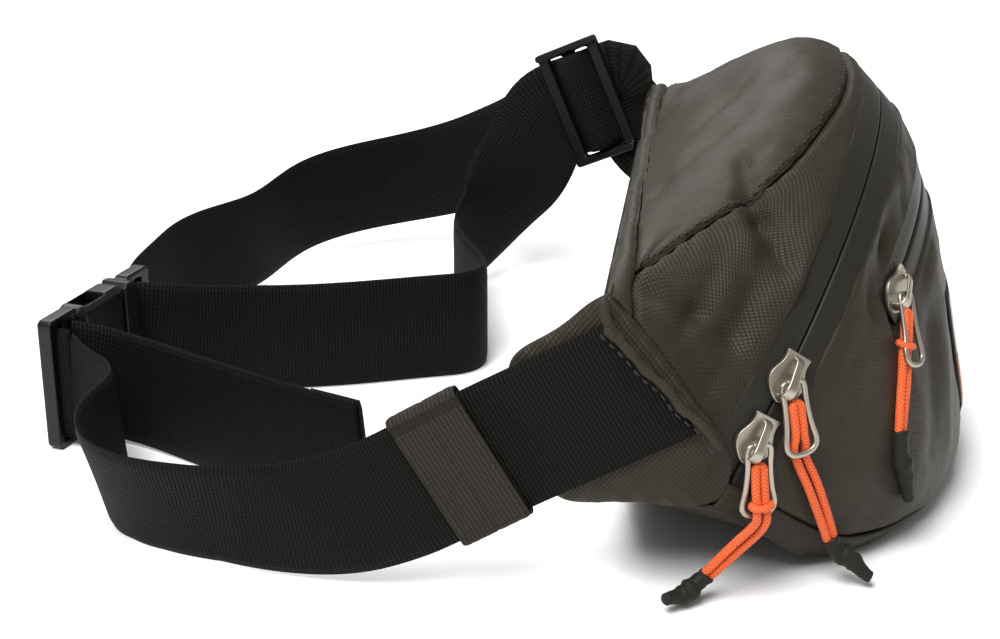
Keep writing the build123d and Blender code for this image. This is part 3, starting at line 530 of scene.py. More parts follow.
def finish_material(name, colour, rough, pattern=None, depth=0.0, dark=0.5, vary=0.12, rough_vary=0.08,
                    scale=25.0, cloth=True, **constants):
    """Principled material: colour darkened in a pattern's hollows, varied by handling, with bump."""
    material = bpy.data.materials.get(name)
    if material:
        return material
    material = bpy.data.materials.new(name)
    material.use_nodes = True
    tree = material.node_tree
    shader = tree.nodes["Principled BSDF"]
    for label, value in constants.items():
        shader.inputs[label.replace("_", " ")].default_value = value
    place = tree.nodes.new("ShaderNodeTexCoord").outputs["Object"]
    handling = place_group(tree, shared_group("Handling", handling_group), Place=place, Scale=scale)
    shade = calc(tree, "ADD", calc(tree, "MULTIPLY", calc(tree, "SUBTRACT", handling["Broad"], 0.5), 2 * vary), 1.0)
    height = calc(tree, "MULTIPLY", handling["Fine"], 0.12)
    if pattern:
        weave = tree.nodes.new("ShaderNodeUVMap")
        weave.uv_map = "cloth"
        where = weave.outputs[0] if cloth else place
        kind, values = pattern
        build = {"Honeycomb Grain": honeycomb_group, "Cross Ribs": rib_group}[kind]
        grain = place_group(tree, shared_group(kind, build), Cloth=where, **values)
        height = calc(tree, "ADD", grain["Height"], height)
        # painted shade: the colour darkens by dark in the pattern's hollows, where shade would fall
        shade = calc(tree, "MULTIPLY", shade, calc(tree, "SUBTRACT", 1.0, calc(tree, "MULTIPLY", grain["Painted Hollow Shade"], dark)))
    tint = tree.nodes.new("ShaderNodeMix")
    tint.data_type = "RGBA"
    tint.blend_type = "MULTIPLY"
    tint.inputs["Factor"].default_value = 1.0
    tint.inputs["A"].default_value = (*colour, 1)
    grey = tree.nodes.new("ShaderNodeCombineColor")
    for channel in grey.inputs:
        tree.links.new(shade, channel)
    tree.links.new(grey.outputs[0], tint.inputs["B"])
    tree.links.new(tint.outputs["Result"], shader.inputs["Base Color"])
    rough_socket = calc(tree, "ADD", calc(tree, "MULTIPLY", calc(tree, "SUBTRACT", handling["Broad"], 0.5), 2 * rough_vary), rough)
    tree.links.new(rough_socket, shader.inputs["Roughness"])
    bump = tree.nodes.new("ShaderNodeBump")
    bump.inputs["Strength"].default_value = 1.0
    bump.inputs["Distance"].default_value = depth or 0.00003
    tree.links.new(height, bump.inputs["Height"])
    tree.links.new(bump.outputs[0], shader.inputs["Normal"])
    return material


def choices():
    return bpy.context.scene.rope_bag


# dark is the painted shade in the honeycomb's hollows
def coated_fabric(grain=0.00017, dark=0.4, name="coated_ripstop"):
    return finish_material(name, choices().fabric_colour, 0.44, ("Honeycomb Grain", {"Pitch": choices().grain_pitch}),
                           grain, dark, 0.2, 0.1, 22.0, Specular_IOR_Level=0.12)


# soft grain: shallower bump and lighter painted shade in the honeycomb's hollows
def soft_grain_fabric():
    return coated_fabric(0.00009, 0.22, "coated_ripstop_soft_grain")


def tape_finish():
    return finish_material("coated_tape", (0.0185, 0.0172, 0.0132), 0.4, depth=0.00004, vary=0.12, scale=40.0,
                           Specular_IOR_Level=0.16)


# 0.8 is painted shade between the webbing's ribs
def webbing_finish():
    return finish_material("belt_webbing", choices().webbing_colour, 0.7,
                           ("Cross Ribs", {"Rib": 0.00115, "Yarn": 0.0016}), 0.00045, 0.8, 0.25, 0.05, 30.0,
                           Specular_IOR_Level=0.1)


# 0.6 is painted shade between the elastic's ribs
def elastic_finish():
    return finish_material("ribbed_elastic", (0.028, 0.0235, 0.018), 0.7,
                           ("Cross Ribs", {"Rib": 0.0012, "Yarn": 0.0012}), 0.0003, 0.6, 0.15, 0.05, 60.0,
                           Specular_IOR_Level=0.15)


def plastic_finish():
    return finish_material("moulded_acetal", (0.0055, 0.0048, 0.0036), 0.36, depth=0.00003, vary=0.2, rough_vary=0.06,
                           scale=90.0, Specular_IOR_Level=0.25)


def metal_finish():
    return finish_material("satin_nickel", (0.4, 0.365, 0.305), 0.42, depth=0.00002, vary=0.08, rough_vary=0.1,
                           scale=160.0, Metallic=1.0)


# 0.4 is painted shade in the braid's hollows
def cord_finish():
    return finish_material("braided_cord", choices().cord_colour, 0.6, ("Honeycomb Grain", {"Pitch": 0.0011}),
                           0.00018, 0.4, 0.06, 0.04, 200.0, Sheen_Weight=0.1, Sheen_Roughness=0.35)


def shrink_finish():
    return finish_material("heat_shrink", (0.017, 0.0165, 0.0135), 0.5, depth=0.00014, vary=0.15, scale=160.0,
                           Specular_IOR_Level=0.1)


def thread_finish():
    return finish_material("sewing_thread", (0.008, 0.0075, 0.007), 0.6, depth=0.00005, vary=0.1, scale=300.0)


# 0.9 is painted shade in the air mesh's hollows
def mesh_finish():
    return finish_material("padded_air_mesh", (0.02, 0.02, 0.02), 0.8, ("Honeycomb Grain", {"Pitch": 0.0026}),
                           0.0007, 0.9, 0.1, 0.04, 30.0, Specular_IOR_Level=0.2)


# ------------------------------------------------------------------ pack pieces
PANEL_T = 1.4


def panel_grid(first, second, interior, keep, snap=None, groove=(0.9, 0.9), middle=None):
    """Grid of a panel between two seams of the pack, over the kept columns.

    snap gives the true place of the first and second edge on the zips. groove is how deep
    each edge turns in. middle holds two more seams that rows follow.
    """
    edges = [first] + list(middle or ()) + [second]
    rows = []
    for i in np.nonzero(keep)[0]:
        marks = [SEAMS[e][i] for e in edges]
        line, lengths = [], []
        for a, b in zip(marks, marks[1:]):
            fine = sampled(COLUMN[i], np.linspace(a, max(b, a + 0.01), 80))
            along = distances(fine)
            places = row_places(along[-1], interior if not middle else max(4, interior // 3))
            if line:
                places = places[1:]
            line.append(np.stack([np.interp(places, along, fine[:, k]) for k in range(3)], axis=1))
            lengths.append(len(places))
        rows.append(np.concatenate(line))
    grid = np.array(rows)
    xs = COLUMN_X[keep]
    across = np.stack([distances(row) for row in grid])
    out = outward(grid)
    for edge, where, zip_offset_pair in ((0, across, snap and snap[0]), (-1, across[:, -1:] - across, snap and snap[1])):
        if zip_offset_pair:
            zip_, offset = zip_offset_pair
            target = tape_edge_at(zip_, xs, offset, 0.5)
            pull = target - grid[:, edge]
            limit = np.abs(xs) < (CHEEK if zip_ is MAIN_ZIP else POCKET_HALF)
            pull *= limit[:, None]
            grid = grid + pull[:, None] * smooth(1 - where / 12.0)[..., None]
    grid = wrinkled(grid, out)
    out = outward(grid)
    for depth, where in ((groove[0], across), (groove[1], across[:, -1:] - across)):
        grid = grid - out * (depth * np.exp(-(where / 1.1) ** 2))[..., None]
    grid[:, :, 0] = np.clip(grid[:, :, 0], -CHEEK - 0.5, CHEEK + 0.5)
    grid[:, :, 2] = np.maximum(grid[:, :, 2], 0.4)
    return grid


def width_between(first, second):
    """Width of a panel between two seams on every column."""
    widths = []
    for i in range(COLUMNS):
        a, b = SEAMS[first][i], SEAMS[second][i]
        widths.append(distances(sampled(COLUMN[i], np.linspace(a, max(b, a + 0.01), 20)))[-1])
    return np.array(widths)


def pucker(grid, edge, pitch, depth, reach):
    """Small gathers square to a seam, dying out away from it."""
    across = np.stack([distances(row) for row in grid])
    where = across if edge == 0 else across[:, -1:] - across
    along = distances(grid[:, edge])
    wave = np.sin(along / pitch * 2 * math.pi) * (0.6 + 0.4 * np.sin(along / (pitch * 3.7)))
    drop = depth * wave[:, None] * np.exp(-where / reach) * smooth(where / 1.5)
    return grid + outward(grid) * drop[..., None]


def make_edge_band():
    keep = np.abs(COLUMN_X) <= CHEEK
    grid = panel_grid("start", "band", 4, keep, groove=(0.5, 1.0))
    across = np.stack([distances(row) for row in grid])
    crown = np.sin(np.clip(across / across[:, -1:], 0, 1) * math.pi)
    grid = grid + outward(grid) * (0.7 * crown)[..., None]
    grid = pucker(grid, -1, 7.0, 0.25, 3.0)
    piece = sheet_mesh("edge_band", grid, PANEL_T, soft_grain_fabric())
    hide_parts("back_edge_band")
    return grid


def make_top_panel():
    keep = (width_between("band", "yoke") > 2.5) & (np.abs(COLUMN_X) < 108)
    grid = panel_grid("band", "yoke", 34, keep, groove=(1.5, 1.3))
    grid = pucker(grid, -1, 8.5, 0.35, 5.0)
    grid = pucker(grid, 0, 11.0, 0.3, 5.0)
    piece = sheet_mesh("top_cover", grid, PANEL_T, soft_grain_fabric())
    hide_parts("top_panel")
    out = outward(grid)
    across = np.stack([distances(row) for row in grid])
    inset = np.array([np.searchsorted(a, a[-1] - 2.6) for a in across])
    line = grid[np.arange(len(grid)), inset]
    stitch_row("yoke_stitches", line, out[np.arange(len(grid)), inset], thread_finish())


def make_side_yoke():
    seams = SEAMS
    seams["yoke_start"] = np.where(np.isnan(seams["yoke"]), seams["band"], np.maximum(seams["yoke"], seams["band"]))
    keep = (width_between("yoke_start", "rear") > 1.0) & (np.abs(COLUMN_X) <= CHEEK)
    grid = panel_grid("yoke_start", "rear", 34, keep, snap=(None, (MAIN_ZIP, MAIN_ZIP["seams"][0])), groove=(2.1, 0.7))
    grid = pucker(grid, 0, 7.0, 0.4, 4.5)
    piece = sheet_mesh("side_yoke_cover", grid, PANEL_T, coated_fabric())
    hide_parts("side_yoke")


def make_front_panel():
    keep = (width_between("front", "base") > 3.0) & (np.abs(COLUMN_X) < 111.5)
    grid = panel_grid("front", "base", 60, keep, snap=((MAIN_ZIP, MAIN_ZIP["seams"][1]), None), groove=(1.1, 1.0),
                      middle=("pocket_top", "pocket_low"))
    xs = grid[:, 0, 0]
    offset = zip_offset(POCKET_ZIP, grid)
    low, high = POCKET_ZIP["seams"]
    window = smooth((POCKET_HALF - np.abs(xs)) / 3.0)[:, None]
    channel = smooth((offset - low + 0.2) / 0.9) * smooth((high + 0.2 - offset) / 0.9) * window
    out = outward(grid)
    for edge, inside in ((low, -1), (high, 1)):
        target = tape_edge_at(POCKET_ZIP, xs, edge, 0.7)
        near = np.abs(offset - edge)
        k = near.argmin(axis=1)
        pull = target - grid[np.arange(len(grid)), k]
        away = np.linalg.norm(grid - grid[np.arange(len(grid)), k][:, None], axis=2)
        grid = grid + pull[:, None] * (smooth(1 - away / 9.0) * window)[..., None]
    grid = grid - out * (3.0 * channel)[..., None]
    piece = sheet_mesh("front_cover", grid, PANEL_T, soft_grain_fabric())
    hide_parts("front_panel")


def make_bottom_panel():
    rows = []
    for i in np.nonzero(np.abs(COLUMN_X) <= CHEEK)[0]:
        turn_up = sampled(COLUMN[i], np.linspace(SEAMS["base"][i], OUTLINE_SAMPLES - 1, 12))
        front, back = turn_up[-1], np.array([COLUMN_X[i], BACK_Y, BACK_LOW_Z[i]])
        share = np.linspace(0, 1, 26)[1:, None]
        under = front * (1 - share) + back * share
        bow = 1.6 - 1.05 * float(smooth((abs(front[0]) - 35) / 50))
        under[:, 2] = front[2] + (back[2] - front[2]) * share[:, 0] ** bow
        up = np.array([[COLUMN_X[i], BACK_Y, BACK_LOW_Z[i] + s] for s in (1.5, 4.0)])
        rows.append(np.concatenate([turn_up, under, up]))
    grid = np.array(rows)
    out = outward(grid)
    slack = np.array([noise.fractal(Vector(p) * 0.03, 0.7, 2.1, 4) for p in grid.reshape(-1, 3)]).reshape(grid.shape[:2])
    grid = grid + out * (0.7 * slack * smooth(grid[:, :, 2] / 8.0))[..., None]
    grid[:, :, 2] = np.maximum(grid[:, :, 2], 0.0)
    piece = sheet_mesh("base_cover", grid, PANEL_T, coated_fabric())
    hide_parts("bottom_panel")


def make_back_panel():
    keep = np.abs(COLUMN_X) <= CHEEK
    rows = []
    for i in np.nonzero(keep)[0]:
        top, low = COLUMN[i, 0, 2], BACK_LOW_Z[i] + 2.0
        z = np.linspace(top, low, 24)
        rows.append(np.column_stack([np.full(24, COLUMN_X[i]), np.full(24, BACK_Y), z]))
    grid = np.array(rows)[::-1]
    slack = np.array([noise.fractal(Vector(p) * 0.03, 0.7, 2.1, 3) for p in grid.reshape(-1, 3)]).reshape(grid.shape[:2])
    grid[:, :, 1] += np.clip(slack, -1, 1) * 0.8
    piece = sheet_mesh("back_cover", grid, PANEL_T, soft_grain_fabric())
    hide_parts("back_panel")


PAD_HALF, PAD_LOW, PAD_HIGH, PAD_T = 89.0, 19.0, 79.0, 3.6
PAD_CORNER = 13.0


def make_back_pad():
    """Spacer mesh pad, crowned between its sewn channels."""
    n, m = 120, 48
    u, v = np.meshgrid(np.linspace(-1, 1, n), np.linspace(-1, 1, m), indexing="ij")
    half_h = (PAD_HIGH - PAD_LOW) / 2
    x, z = u * PAD_HALF, v * half_h
    corner_x, corner_z = PAD_HALF - PAD_CORNER, half_h - PAD_CORNER
    over_x, over_z = np.maximum(np.abs(x) - corner_x, 0), np.maximum(np.abs(z) - corner_z, 0)
    reach = np.hypot(over_x, over_z)
    pull = np.where((over_x > 0) & (over_z > 0), np.maximum(over_x, over_z) / np.maximum(reach, 1e-6), 1.0)
    x = np.sign(x) * (np.minimum(np.abs(x), corner_x) + over_x * pull)
    z = np.sign(z) * (np.minimum(np.abs(z), corner_z) + over_z * pull)
    edge = np.minimum(1 - np.abs(u), (1 - np.abs(v)) * half_h / PAD_HALF) * PAD_HALF
    crown = PAD_T * (1 - np.exp(-edge / 2.2))
    for seam in (-45.0, 0.0, 45.0):
        crown = crown * (1 - 0.75 * np.exp(-((x - seam) / 1.6) ** 2) * smooth(edge / 6.0))
    grid = np.stack([x, BACK_Y + 0.2 + crown, z + (PAD_HIGH + PAD_LOW) / 2], axis=2)
    piece = sheet_mesh("mesh_pad", grid[::-1, ::-1] if False else grid[::-1], 0.15, mesh_finish())
    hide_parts("back_pad")
    rim = []
    for t in np.linspace(0, 2 * math.pi, 240):
        c, s = math.cos(t), math.sin(t)
        px = math.copysign(abs(c) ** 0.22, c) * (PAD_HALF - 0.5)
        pz = math.copysign(abs(s) ** 0.3, s) * (half_h - 0.5)
        rim.append((px, BACK_Y + 0.9, pz + (PAD_HIGH + PAD_LOW) / 2))
    tube_mesh("pad_binding", rim, 1.1, soft_grain_fabric(), "pack", sides=10, ups=(0, 1, 0))


def make_zip_tapes():
    """Rear and front tape of both zips, with folded lips at the slit and at the seams."""
    for label, zip_ in (("main_zip", MAIN_ZIP), ("pocket_zip", POCKET_ZIP)):
        end = math.radians(zip_["end"])
        angles = np.linspace(-end, end, 200)
        low, high = zip_["seams"]
        for side, edges in (("rear", (low - 1.2, -SLIT)), ("front", (SLIT, high + 1.2))):
            places = np.linspace(edges[0], edges[1], 15)
            to_slit = np.abs(places - (edges[1] if side == "rear" else edges[0]))
            lifts = -0.5 * np.exp(-(to_slit / 0.35) ** 2) + 0.05 * np.exp(-((to_slit - 2.6) / 1.2) ** 2)
            rows = [tape_point(zip_, angles, place, lift) for place, lift in zip(places, lifts)]
            grid = np.stack(rows, axis=1)
            if label == "main_zip":
                grid[:, :, 0] = np.clip(grid[:, :, 0], -CHEEK + 0.3, CHEEK - 0.3)
            piece = sheet_mesh(f"{label}_{side}_flap", grid, 0.9, tape_finish())
            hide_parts(f"{label}_{side}_tape")
        ridge = tape_point(zip_, angles[4:-4], 0.0, -1.6)
        piece = tube_mesh(f"{label}_hidden_coil", ridge, 0.9, plastic_finish(), "pack", sides=8)
        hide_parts(f"{label}_coil")


# ------------------------------------------------------------------ hip wings
SEAM_SIDE = [(0, 88), (10, 74), (26, 53), (31, 45), (30, 38), (27, 31), (6, 29)]
WING_BACK = {
    "left": [(-13, 30), (-19, 42), (-25.5, 60), (-25, 68.5), (-16, 76), (-9.5, 81), (-4, 86)],
    "right": [(0, 32), (-1, 48), (-3, 60), (-4, 72), (-3, 81), (-1, 87)],
}
WING_T = 4.0
SLIDER_STOP = (16.5, 36.0)  # (y, z) of the lower slider at its stop, where the wing lies flat
STRIP_RUN = [(50.0, 81.5), (19.0, 49.6)]  # the near webbing's sewn end, (y, z)


def make_wing(name, sign):
    """Padded wing: a pillow over its outline, gathered along its edge."""
    end = COLUMN[0][::24]
    pack_side = [(BACK_Y - p[1], p[2]) for p in end]
    corners = np.array(pack_side + SEAM_SIDE[-1:] + WING_BACK[name] + pack_side[:1], float)
    outline = evenly(corners, 145)[:-1]
    centre = outline.mean(axis=0)
    shares = np.concatenate([np.linspace(0.02, 0.8, 12), [0.86, 0.91, 0.95, 0.98, 1.0]])
    rings_out, rings_in = [], []
    for share in shares:
        flat = centre + (outline - centre) * share
        gather = 0.35 * np.sin(np.arange(len(flat)) * 2 * math.pi / 5.5) * smooth((share - 0.7) / 0.3)
        puff = (WING_T - 0.2) * math.sqrt(max(0.0, 1 - share ** 4))
        world = np.column_stack([np.full(len(flat), 0.0), BACK_Y - flat[:, 0], flat[:, 1]])
        slack = np.array([noise.fractal(Vector(p) * 0.05, 0.7, 2.1, 3) for p in world])
        top = puff + (gather + 0.5 * slack) * (1 if share < 0.99 else 0.4)
        stop_gap = np.hypot(world[:, 1] - SLIDER_STOP[0], world[:, 2] - SLIDER_STOP[1])
        inner = CHEEK + 0.25 * (1 - smooth((stop_gap - 6.0) / 4.0))
        world[:, 0] = sign * (inner + np.clip(top * smooth((stop_gap - 4.0) / 8.0), 0.1, WING_T + 0.1))
        rings_out.append(world)
        base = world.copy()
        base[:, 0] = sign * inner
        rings_in.append(base)
    grid = np.array(rings_out + rings_in[::-1])
    count, sides = grid.shape[:2]
    faces = []
    for i in range(count - 1):
        for j in range(sides):
            k = (j + 1) % sides
            quad = (i * sides + j, i * sides + k, (i + 1) * sides + k, (i + 1) * sides + j)
            faces.append(quad if sign > 0 else quad[::-1])
    for ring, way in ((0, -1), (count - 1, 1)):
        cap = tuple(ring * sides + j for j in range(sides))
        faces.append(cap if way * sign > 0 else cap[::-1])
    uv = np.column_stack([grid.reshape(-1, 3)[:, 1], grid.reshape(-1, 3)[:, 2]])
    piece = finish_mesh(f"wing_cover_{name}", grid.reshape(-1, 3), faces, uv, coated_fabric(), "pack")
    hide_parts(f"hip_wing_{name}")


def make_wing_bindings():
    """Folded strip that covers the webbing's sewn end, and the welt at the wing's top corner."""
    for name, sign, run, proud in (("left", -1, STRIP_RUN, 0.0), ("right", 1, [(40, 74.5), (18, 44)], 2.6)):
        count = 70
        share = np.linspace(0, 1, count)
        start, end = np.array(run, float)
        yz = start + (end - start) * share[:, None]
        x = sign * (CHEEK + WING_T + 1.9 + proud + 0.9 + 0.12 * np.sin(share * 33))
        path = np.column_stack([x, yz[:, 0] + 0.35 * np.sin(share * 21), yz[:, 1] + 0.3 * np.sin(share * 17)])
        taper = 1.35 * np.sqrt(np.clip(np.minimum(share, 1 - share) / 0.03, 0.15, 1)) * (1 + 0.12 * np.sin(share * 40))
        strip = tube_mesh(f"wing_strip_{name}", path, taper, soft_grain_fabric(), "pack", sides=18,
                          ups=(1, 0, 0), flat=0.8)
        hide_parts(f"wing_binding_{name}")
        line = path + np.array([sign * 0.55, 1.5, -1.5])
        stitch_row(f"wing_strip_stitches_{name}", line, np.tile([sign, 0.0, 0.0], (count, 1)), thread_finish(),
                   pitch=3.0, length=2.1, radius=0.26)
        welt = evenly([(50.6, 88.6), (50.2, 84.5), (48.5, 80.6), (45.0, 77.4)], 40)
        share = np.linspace(0, 1, 40)
        taper = 1.5 * np.sqrt(np.clip(np.minimum(share, 1 - share) / 0.08, 0.15, 1))
        path = np.column_stack([np.full(40, sign * (CHEEK + WING_T + 0.9)) + sign * 1.4 * share, welt])
        tube_mesh(f"wing_welt_{name}", path, taper, soft_grain_fabric(), "pack", sides=14,
                  ups=(1, 0, 0), flat=0.9)


# ------------------------------------------------------------------ belt
BUCKLE = np.array([-42.0, 232.0])
BUCKLE_TURN = math.radians(-13.0)
WEBBING, WEBBING_T = 38.0, 1.7
WEB_X = CHEEK + WING_T + WEBBING_T / 2 + 0.1


def buckle_at(along, out, z=21.6):
    """Point in the buckle: along it from its female end, and out from the belt loop."""
    c, s = math.cos(BUCKLE_TURN), math.sin(BUCKLE_TURN)
    return BUCKLE[0] + along * c - out * s, BUCKLE[1] + along * s + out * c, z


NEAR_STRAND = [
    (-WEB_X, 35, 68.8, 0), (-WEB_X, 54, 58.2, 0), (-WEB_X, 73, 47.7, 0), (-WEB_X, 92, 36.7, 0),
    (-WEB_X, 104, 29.6, 0), (-118.6, 118, 23.6, 4), (-118, 136, 19.8, 12), (-116.5, 158, 19.2, 20),
    (-112.5, 178, 19.2, 22), (-105, 191, 19.2, 20), (-95, 198.5, 19.2, 14), (-82, 201.5, 19.2, 8),
    (-69, 201, 19.2, 6), (-59.5, 203.5, 19.3, 4), (-53.5, 210, 19.6, 0), (-47, 217.5, 20.2, 0),
    (*buckle_at(4.4, -6.5), 0),
]
NEAR_TAIL = [
    (*buckle_at(4.4, -6.5), 0), (*buckle_at(5.1, 0), 0), (*buckle_at(6.2, 3.6), 0),
    (*buckle_at(8.6, 4.7), 0), (*buckle_at(11.0, 3.6), 0), (*buckle_at(12.1, 0), 0),
    (*buckle_at(12.0, -6.5), 0), (-33.5, 212, 20.2, 0), (-39, 199, 19.8, 0), (-46.5, 185, 19.4, 0),
    (-54.5, 170, 19.2, 0), (-62, 154, 19.2, -4), (-69, 138, 19.2, -6), (-75, 124, 19.2, -8),
]
GLIDE = np.array([128.5, 75.5, 77.5])
GLIDE_WAY = unit(np.array([0.28, 0.86, -0.42]))
GLIDE_LEFT = unit(np.cross([0, 0, 1], GLIDE_WAY))
GLIDE_UP = np.cross(GLIDE_WAY, GLIDE_LEFT)


def glide_at(along, out):
    """Station in the tri-glide: along the belt's way and out towards the belt loop."""
    return (*(GLIDE + GLIDE_WAY * along + GLIDE_LEFT * out), 0, *GLIDE_UP)


FAR_BELT = [
    (119.6, 36, 59.5, 0), (120.9, 43, 62.0, 0), (122.2, 50, 66.4, 0), (123.6, 55, 71.6, 0),
    (125.3, 59.2, 77.0, 0, 0.07, 0.2, 0.96), glide_at(-13, -2.9), glide_at(-9.6, -2.6), glide_at(-6.3, 0),
    glide_at(-3.2, 4.0), glide_at(0, 5.4), glide_at(3.2, 4.0), glide_at(6.3, 0),
    glide_at(9.6, -2.6), glide_at(15, -2.8),
    (137.8, 99, 53, 0), (137, 108, 38.0, 0), (130, 116, 27.0, 0),
    (115, 122.5, 21.0, 0), (92, 121, 19.3, 0), (72, 113.5, 19.3, 0), (57, 106.5, 19.3, 0),
    (46.5, 104.5, 19.3, 0), (38.5, 109, 19.3, 0), (33.5, 119, 19.3, 0), (28, 133, 19.3, 0),
    (21, 152, 19.3, 0), (16, 172, 19.3, 0), (12.5, 192, 19.6, 0), (9.5, 206, 20.2, 0),
    (*buckle_at(51.6, -4), 0), (*buckle_at(52.2, 0.4), 0), (*buckle_at(53.6, 3.7), 0),
    (*buckle_at(57, 5.1), 0), (29, 226, 20.8, 0), (55, 226, 20.6, 0), (78, 224, 20.5, 0),
    (91, 219, 20.6, 0), (101, 212, 20.9, 0), (110, 206, 21.3, 0), (123, 201, 22.5, 0),
    (145, 192.5, 25.5, 0), (163, 174, 28.5, 0), (170.5, 150, 32.5, 0), (166, 128, 40, 0),
    (156.5, 110, 50.0, 0), (148, 99, 58.5, 0), glide_at(15.5, -8.2),
    glide_at(8.5, -5.6), glide_at(3.9, -1.6), glide_at(3.6, 0.4),
    glide_at(2.4, 2.4), glide_at(0, 3.05), glide_at(-2.4, 2.4), glide_at(-3.6, 0.2),
    glide_at(-3.0, -2.2), glide_at(-1.0, -3.0),
]
SECTION_STEPS = 14


def webbing_mesh(name, stations, body, step=1.6, gather=0.0):
    """Woven belt along stations: a thin band with rounded selvedges and a slight crown."""
    points = np.array([s[:3] for s in stations], float)
    leans = np.radians([s[3] for s in stations])
    rises = np.array([s[4:] or (0, 0, 1) for s in stations], float)
    knots = distances(points)
    count = int(knots[-1] / step)
    at = np.linspace(0, knots[-1], count)
    line = spline(knots, points, at)
    lean = np.interp(at, knots, leans)
    rise = np.stack([np.interp(at, knots, rises[:, k]) for k in range(3)], axis=1)
    ways = unit(np.gradient(line, axis=0))
    left = unit(np.cross(rise, ways))
    up = np.cross(ways, left)
    across = up * np.cos(lean)[:, None] + left * np.sin(lean)[:, None]
    flat = np.cross(ways, across)
    half = WEBBING / 2
    w = np.linspace(-1, 1, SECTION_STEPS)
    thick = WEBBING_T / 2 * np.sqrt(np.clip(1 - np.abs(w) ** 10, 0.05, 1)) * (1 + 0.12 * np.exp(-((np.abs(w) - 0.93) / 0.04) ** 2))
    ring = [(a * half, t) for a, t in zip(w, thick)] + [(a * half, -t) for a, t in zip(w[::-1], thick[::-1])]
    ring = np.array(ring)
    bow = gather * np.sin(at / 9.0)[:, None] * (1 - (ring[:, 0] / half) ** 2)[None]
    rings = (line[:, None] + across[:, None] * ring[None, :, :1]
             + flat[:, None] * (ring[None, :, 1] + bow)[..., None])
    if name == "webbing_near_strand":
        (y0, z0), (y1, z1) = STRIP_RUN
        square_to = unit(np.array([0.0, z0 - z1, y1 - y0]))
        past = np.minimum((rings - np.array([0.0, y0, z0])) @ square_to, 0.0)
        rings = rings - past[..., None] / (ways[0] @ square_to) * ways[0]
    rings[:, :, 2] = np.maximum(rings[:, :, 2], 0.1)
    sides = len(ring)
    faces = [(i * sides + j, (i + 1) * sides + j, (i + 1) * sides + (j + 1) % sides, i * sides + (j + 1) % sides)
             for i in range(count - 1) for j in range(sides)]
    faces.append(tuple(range(sides)))
    faces.append(tuple((count - 1) * sides + j for j in reversed(range(sides))))
    uv = np.stack([np.repeat(at, sides), np.tile(ring[:, 0], count)], axis=1)
    return finish_mesh(name, rings.reshape(-1, 3), faces, uv, webbing_finish(), body)


def hem_mesh(name, stations, body, length, back=False):
    """Folded and sewn end of the webbing, lying on its last stretch."""
    points = np.array([s[:3] for s in stations[-2:]], float)
    way = unit(points[1] - points[0])
    left = unit(np.cross([0, 0, 1], way))
    start = points[1] - way * length
    shift = left * (WEBBING_T * (1.0 if not back else -1.0) + 0.05)
    lean = stations[-1][3]
    pieces = [(*(start + shift), lean), (*(start + way * length * 0.5 + shift), lean), (*(points[1] + shift * 0.9 + way * 0.6), lean)]
    return webbing_mesh(name, pieces, body, step=0.8)


def make_webbing():
    strand = webbing_mesh("webbing_near_strand", NEAR_STRAND, None)
    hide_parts("webbing_near")
    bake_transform(strand)
    webbing_mesh("webbing_near_tail", NEAR_TAIL, "buckle_socket")
    hem_mesh("webbing_near_hem", NEAR_TAIL, "buckle_socket", 17.0)
    piece = webbing_mesh("webbing_far_strap", FAR_BELT, "pack")
    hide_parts("webbing_far")


KEEPER = dict(y=88.0, z=39.12, width=21.0)


def make_keeper():
    """Ribbed elastic band round the near webbing, rounded at its sides, with one sewn line."""
    way = unit(np.array([0.0, 38.0, -23.0]))
    up = np.array([0.0, -way[2], way[1]])
    middle = np.array([-WEB_X, KEEPER["y"], KEEPER["z"]])
    half, thick, corner = WEBBING / 2 + 1.1, WEBBING_T / 2 + 1.0, 1.3
    loop = []
    for sx, sz in ((-1, 1), (1, 1), (1, -1), (-1, -1)):
        for k in range(7):
            a = {(-1, 1): 180, (1, 1): 90, (1, -1): 0, (-1, -1): -90}[(sx, sz)] - k * 15
            loop.append((sx * (thick - corner) + corner * math.cos(math.radians(a)),
                         sz * (half - corner) + corner * math.sin(math.radians(a))))
        nx, nz = {(-1, 1): (1, 1), (1, 1): (1, -1), (1, -1): (-1, -1), (-1, -1): (-1, 1)}[(sx, sz)]
        if (sx, sz) in ((1, 1), (-1, -1)):
            for share in np.linspace(0, 1, 14)[1:-1]:
                loop.append((sx * thick, sz * (half - corner) * (1 - 2 * share)))
    loop = np.array(loop)
    along = np.linspace(-KEEPER["width"] / 2, KEEPER["width"] / 2, 34)
    grid = []
    for s in along:
        edge = min(s + KEEPER["width"] / 2, KEEPER["width"] / 2 - s)
        swell = 0.25 * math.exp(-(edge / 0.8) ** 2) * -1 + 0.12 * math.sin(s * 2.1) * math.exp(-edge / 3)
        line = -0.22 * math.exp(-(s / 0.45) ** 2)
        ring = loop * (1 + (swell + line) / np.array([thick, half]) * np.array([1.0, 1.0]))
        grid.append(middle + way * s + np.outer(ring[:, 0], [1, 0, 0]) + np.outer(ring[:, 1], up))
    grid = np.array(grid)
    piece = sheet_mesh("keeper_band", grid[:, ::-1], 0.8, elastic_finish(), "keeper", closed=True)
    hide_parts("elastic_keeper")


# ------------------------------------------------------------------ label
LABEL_HALF_W, LABEL_HALF_H, LABEL_Z = 22.0, 19.0, 40.0


def front_point(x, z):
    """Point and outward direction on the pack's front at a height."""
    i = np.abs(COLUMN_X - x).argmin()
    low = int(OUTLINE_SAMPLES * 0.45)
    column = COLUMN[i, low:]
    k = np.abs(column[:, 2] - z).argmin()
    way = unit(column[min(k + 2, len(column) - 1)] - column[max(k - 2, 0)])
    return column[k], np.array([0.0, way[2], -way[1]])


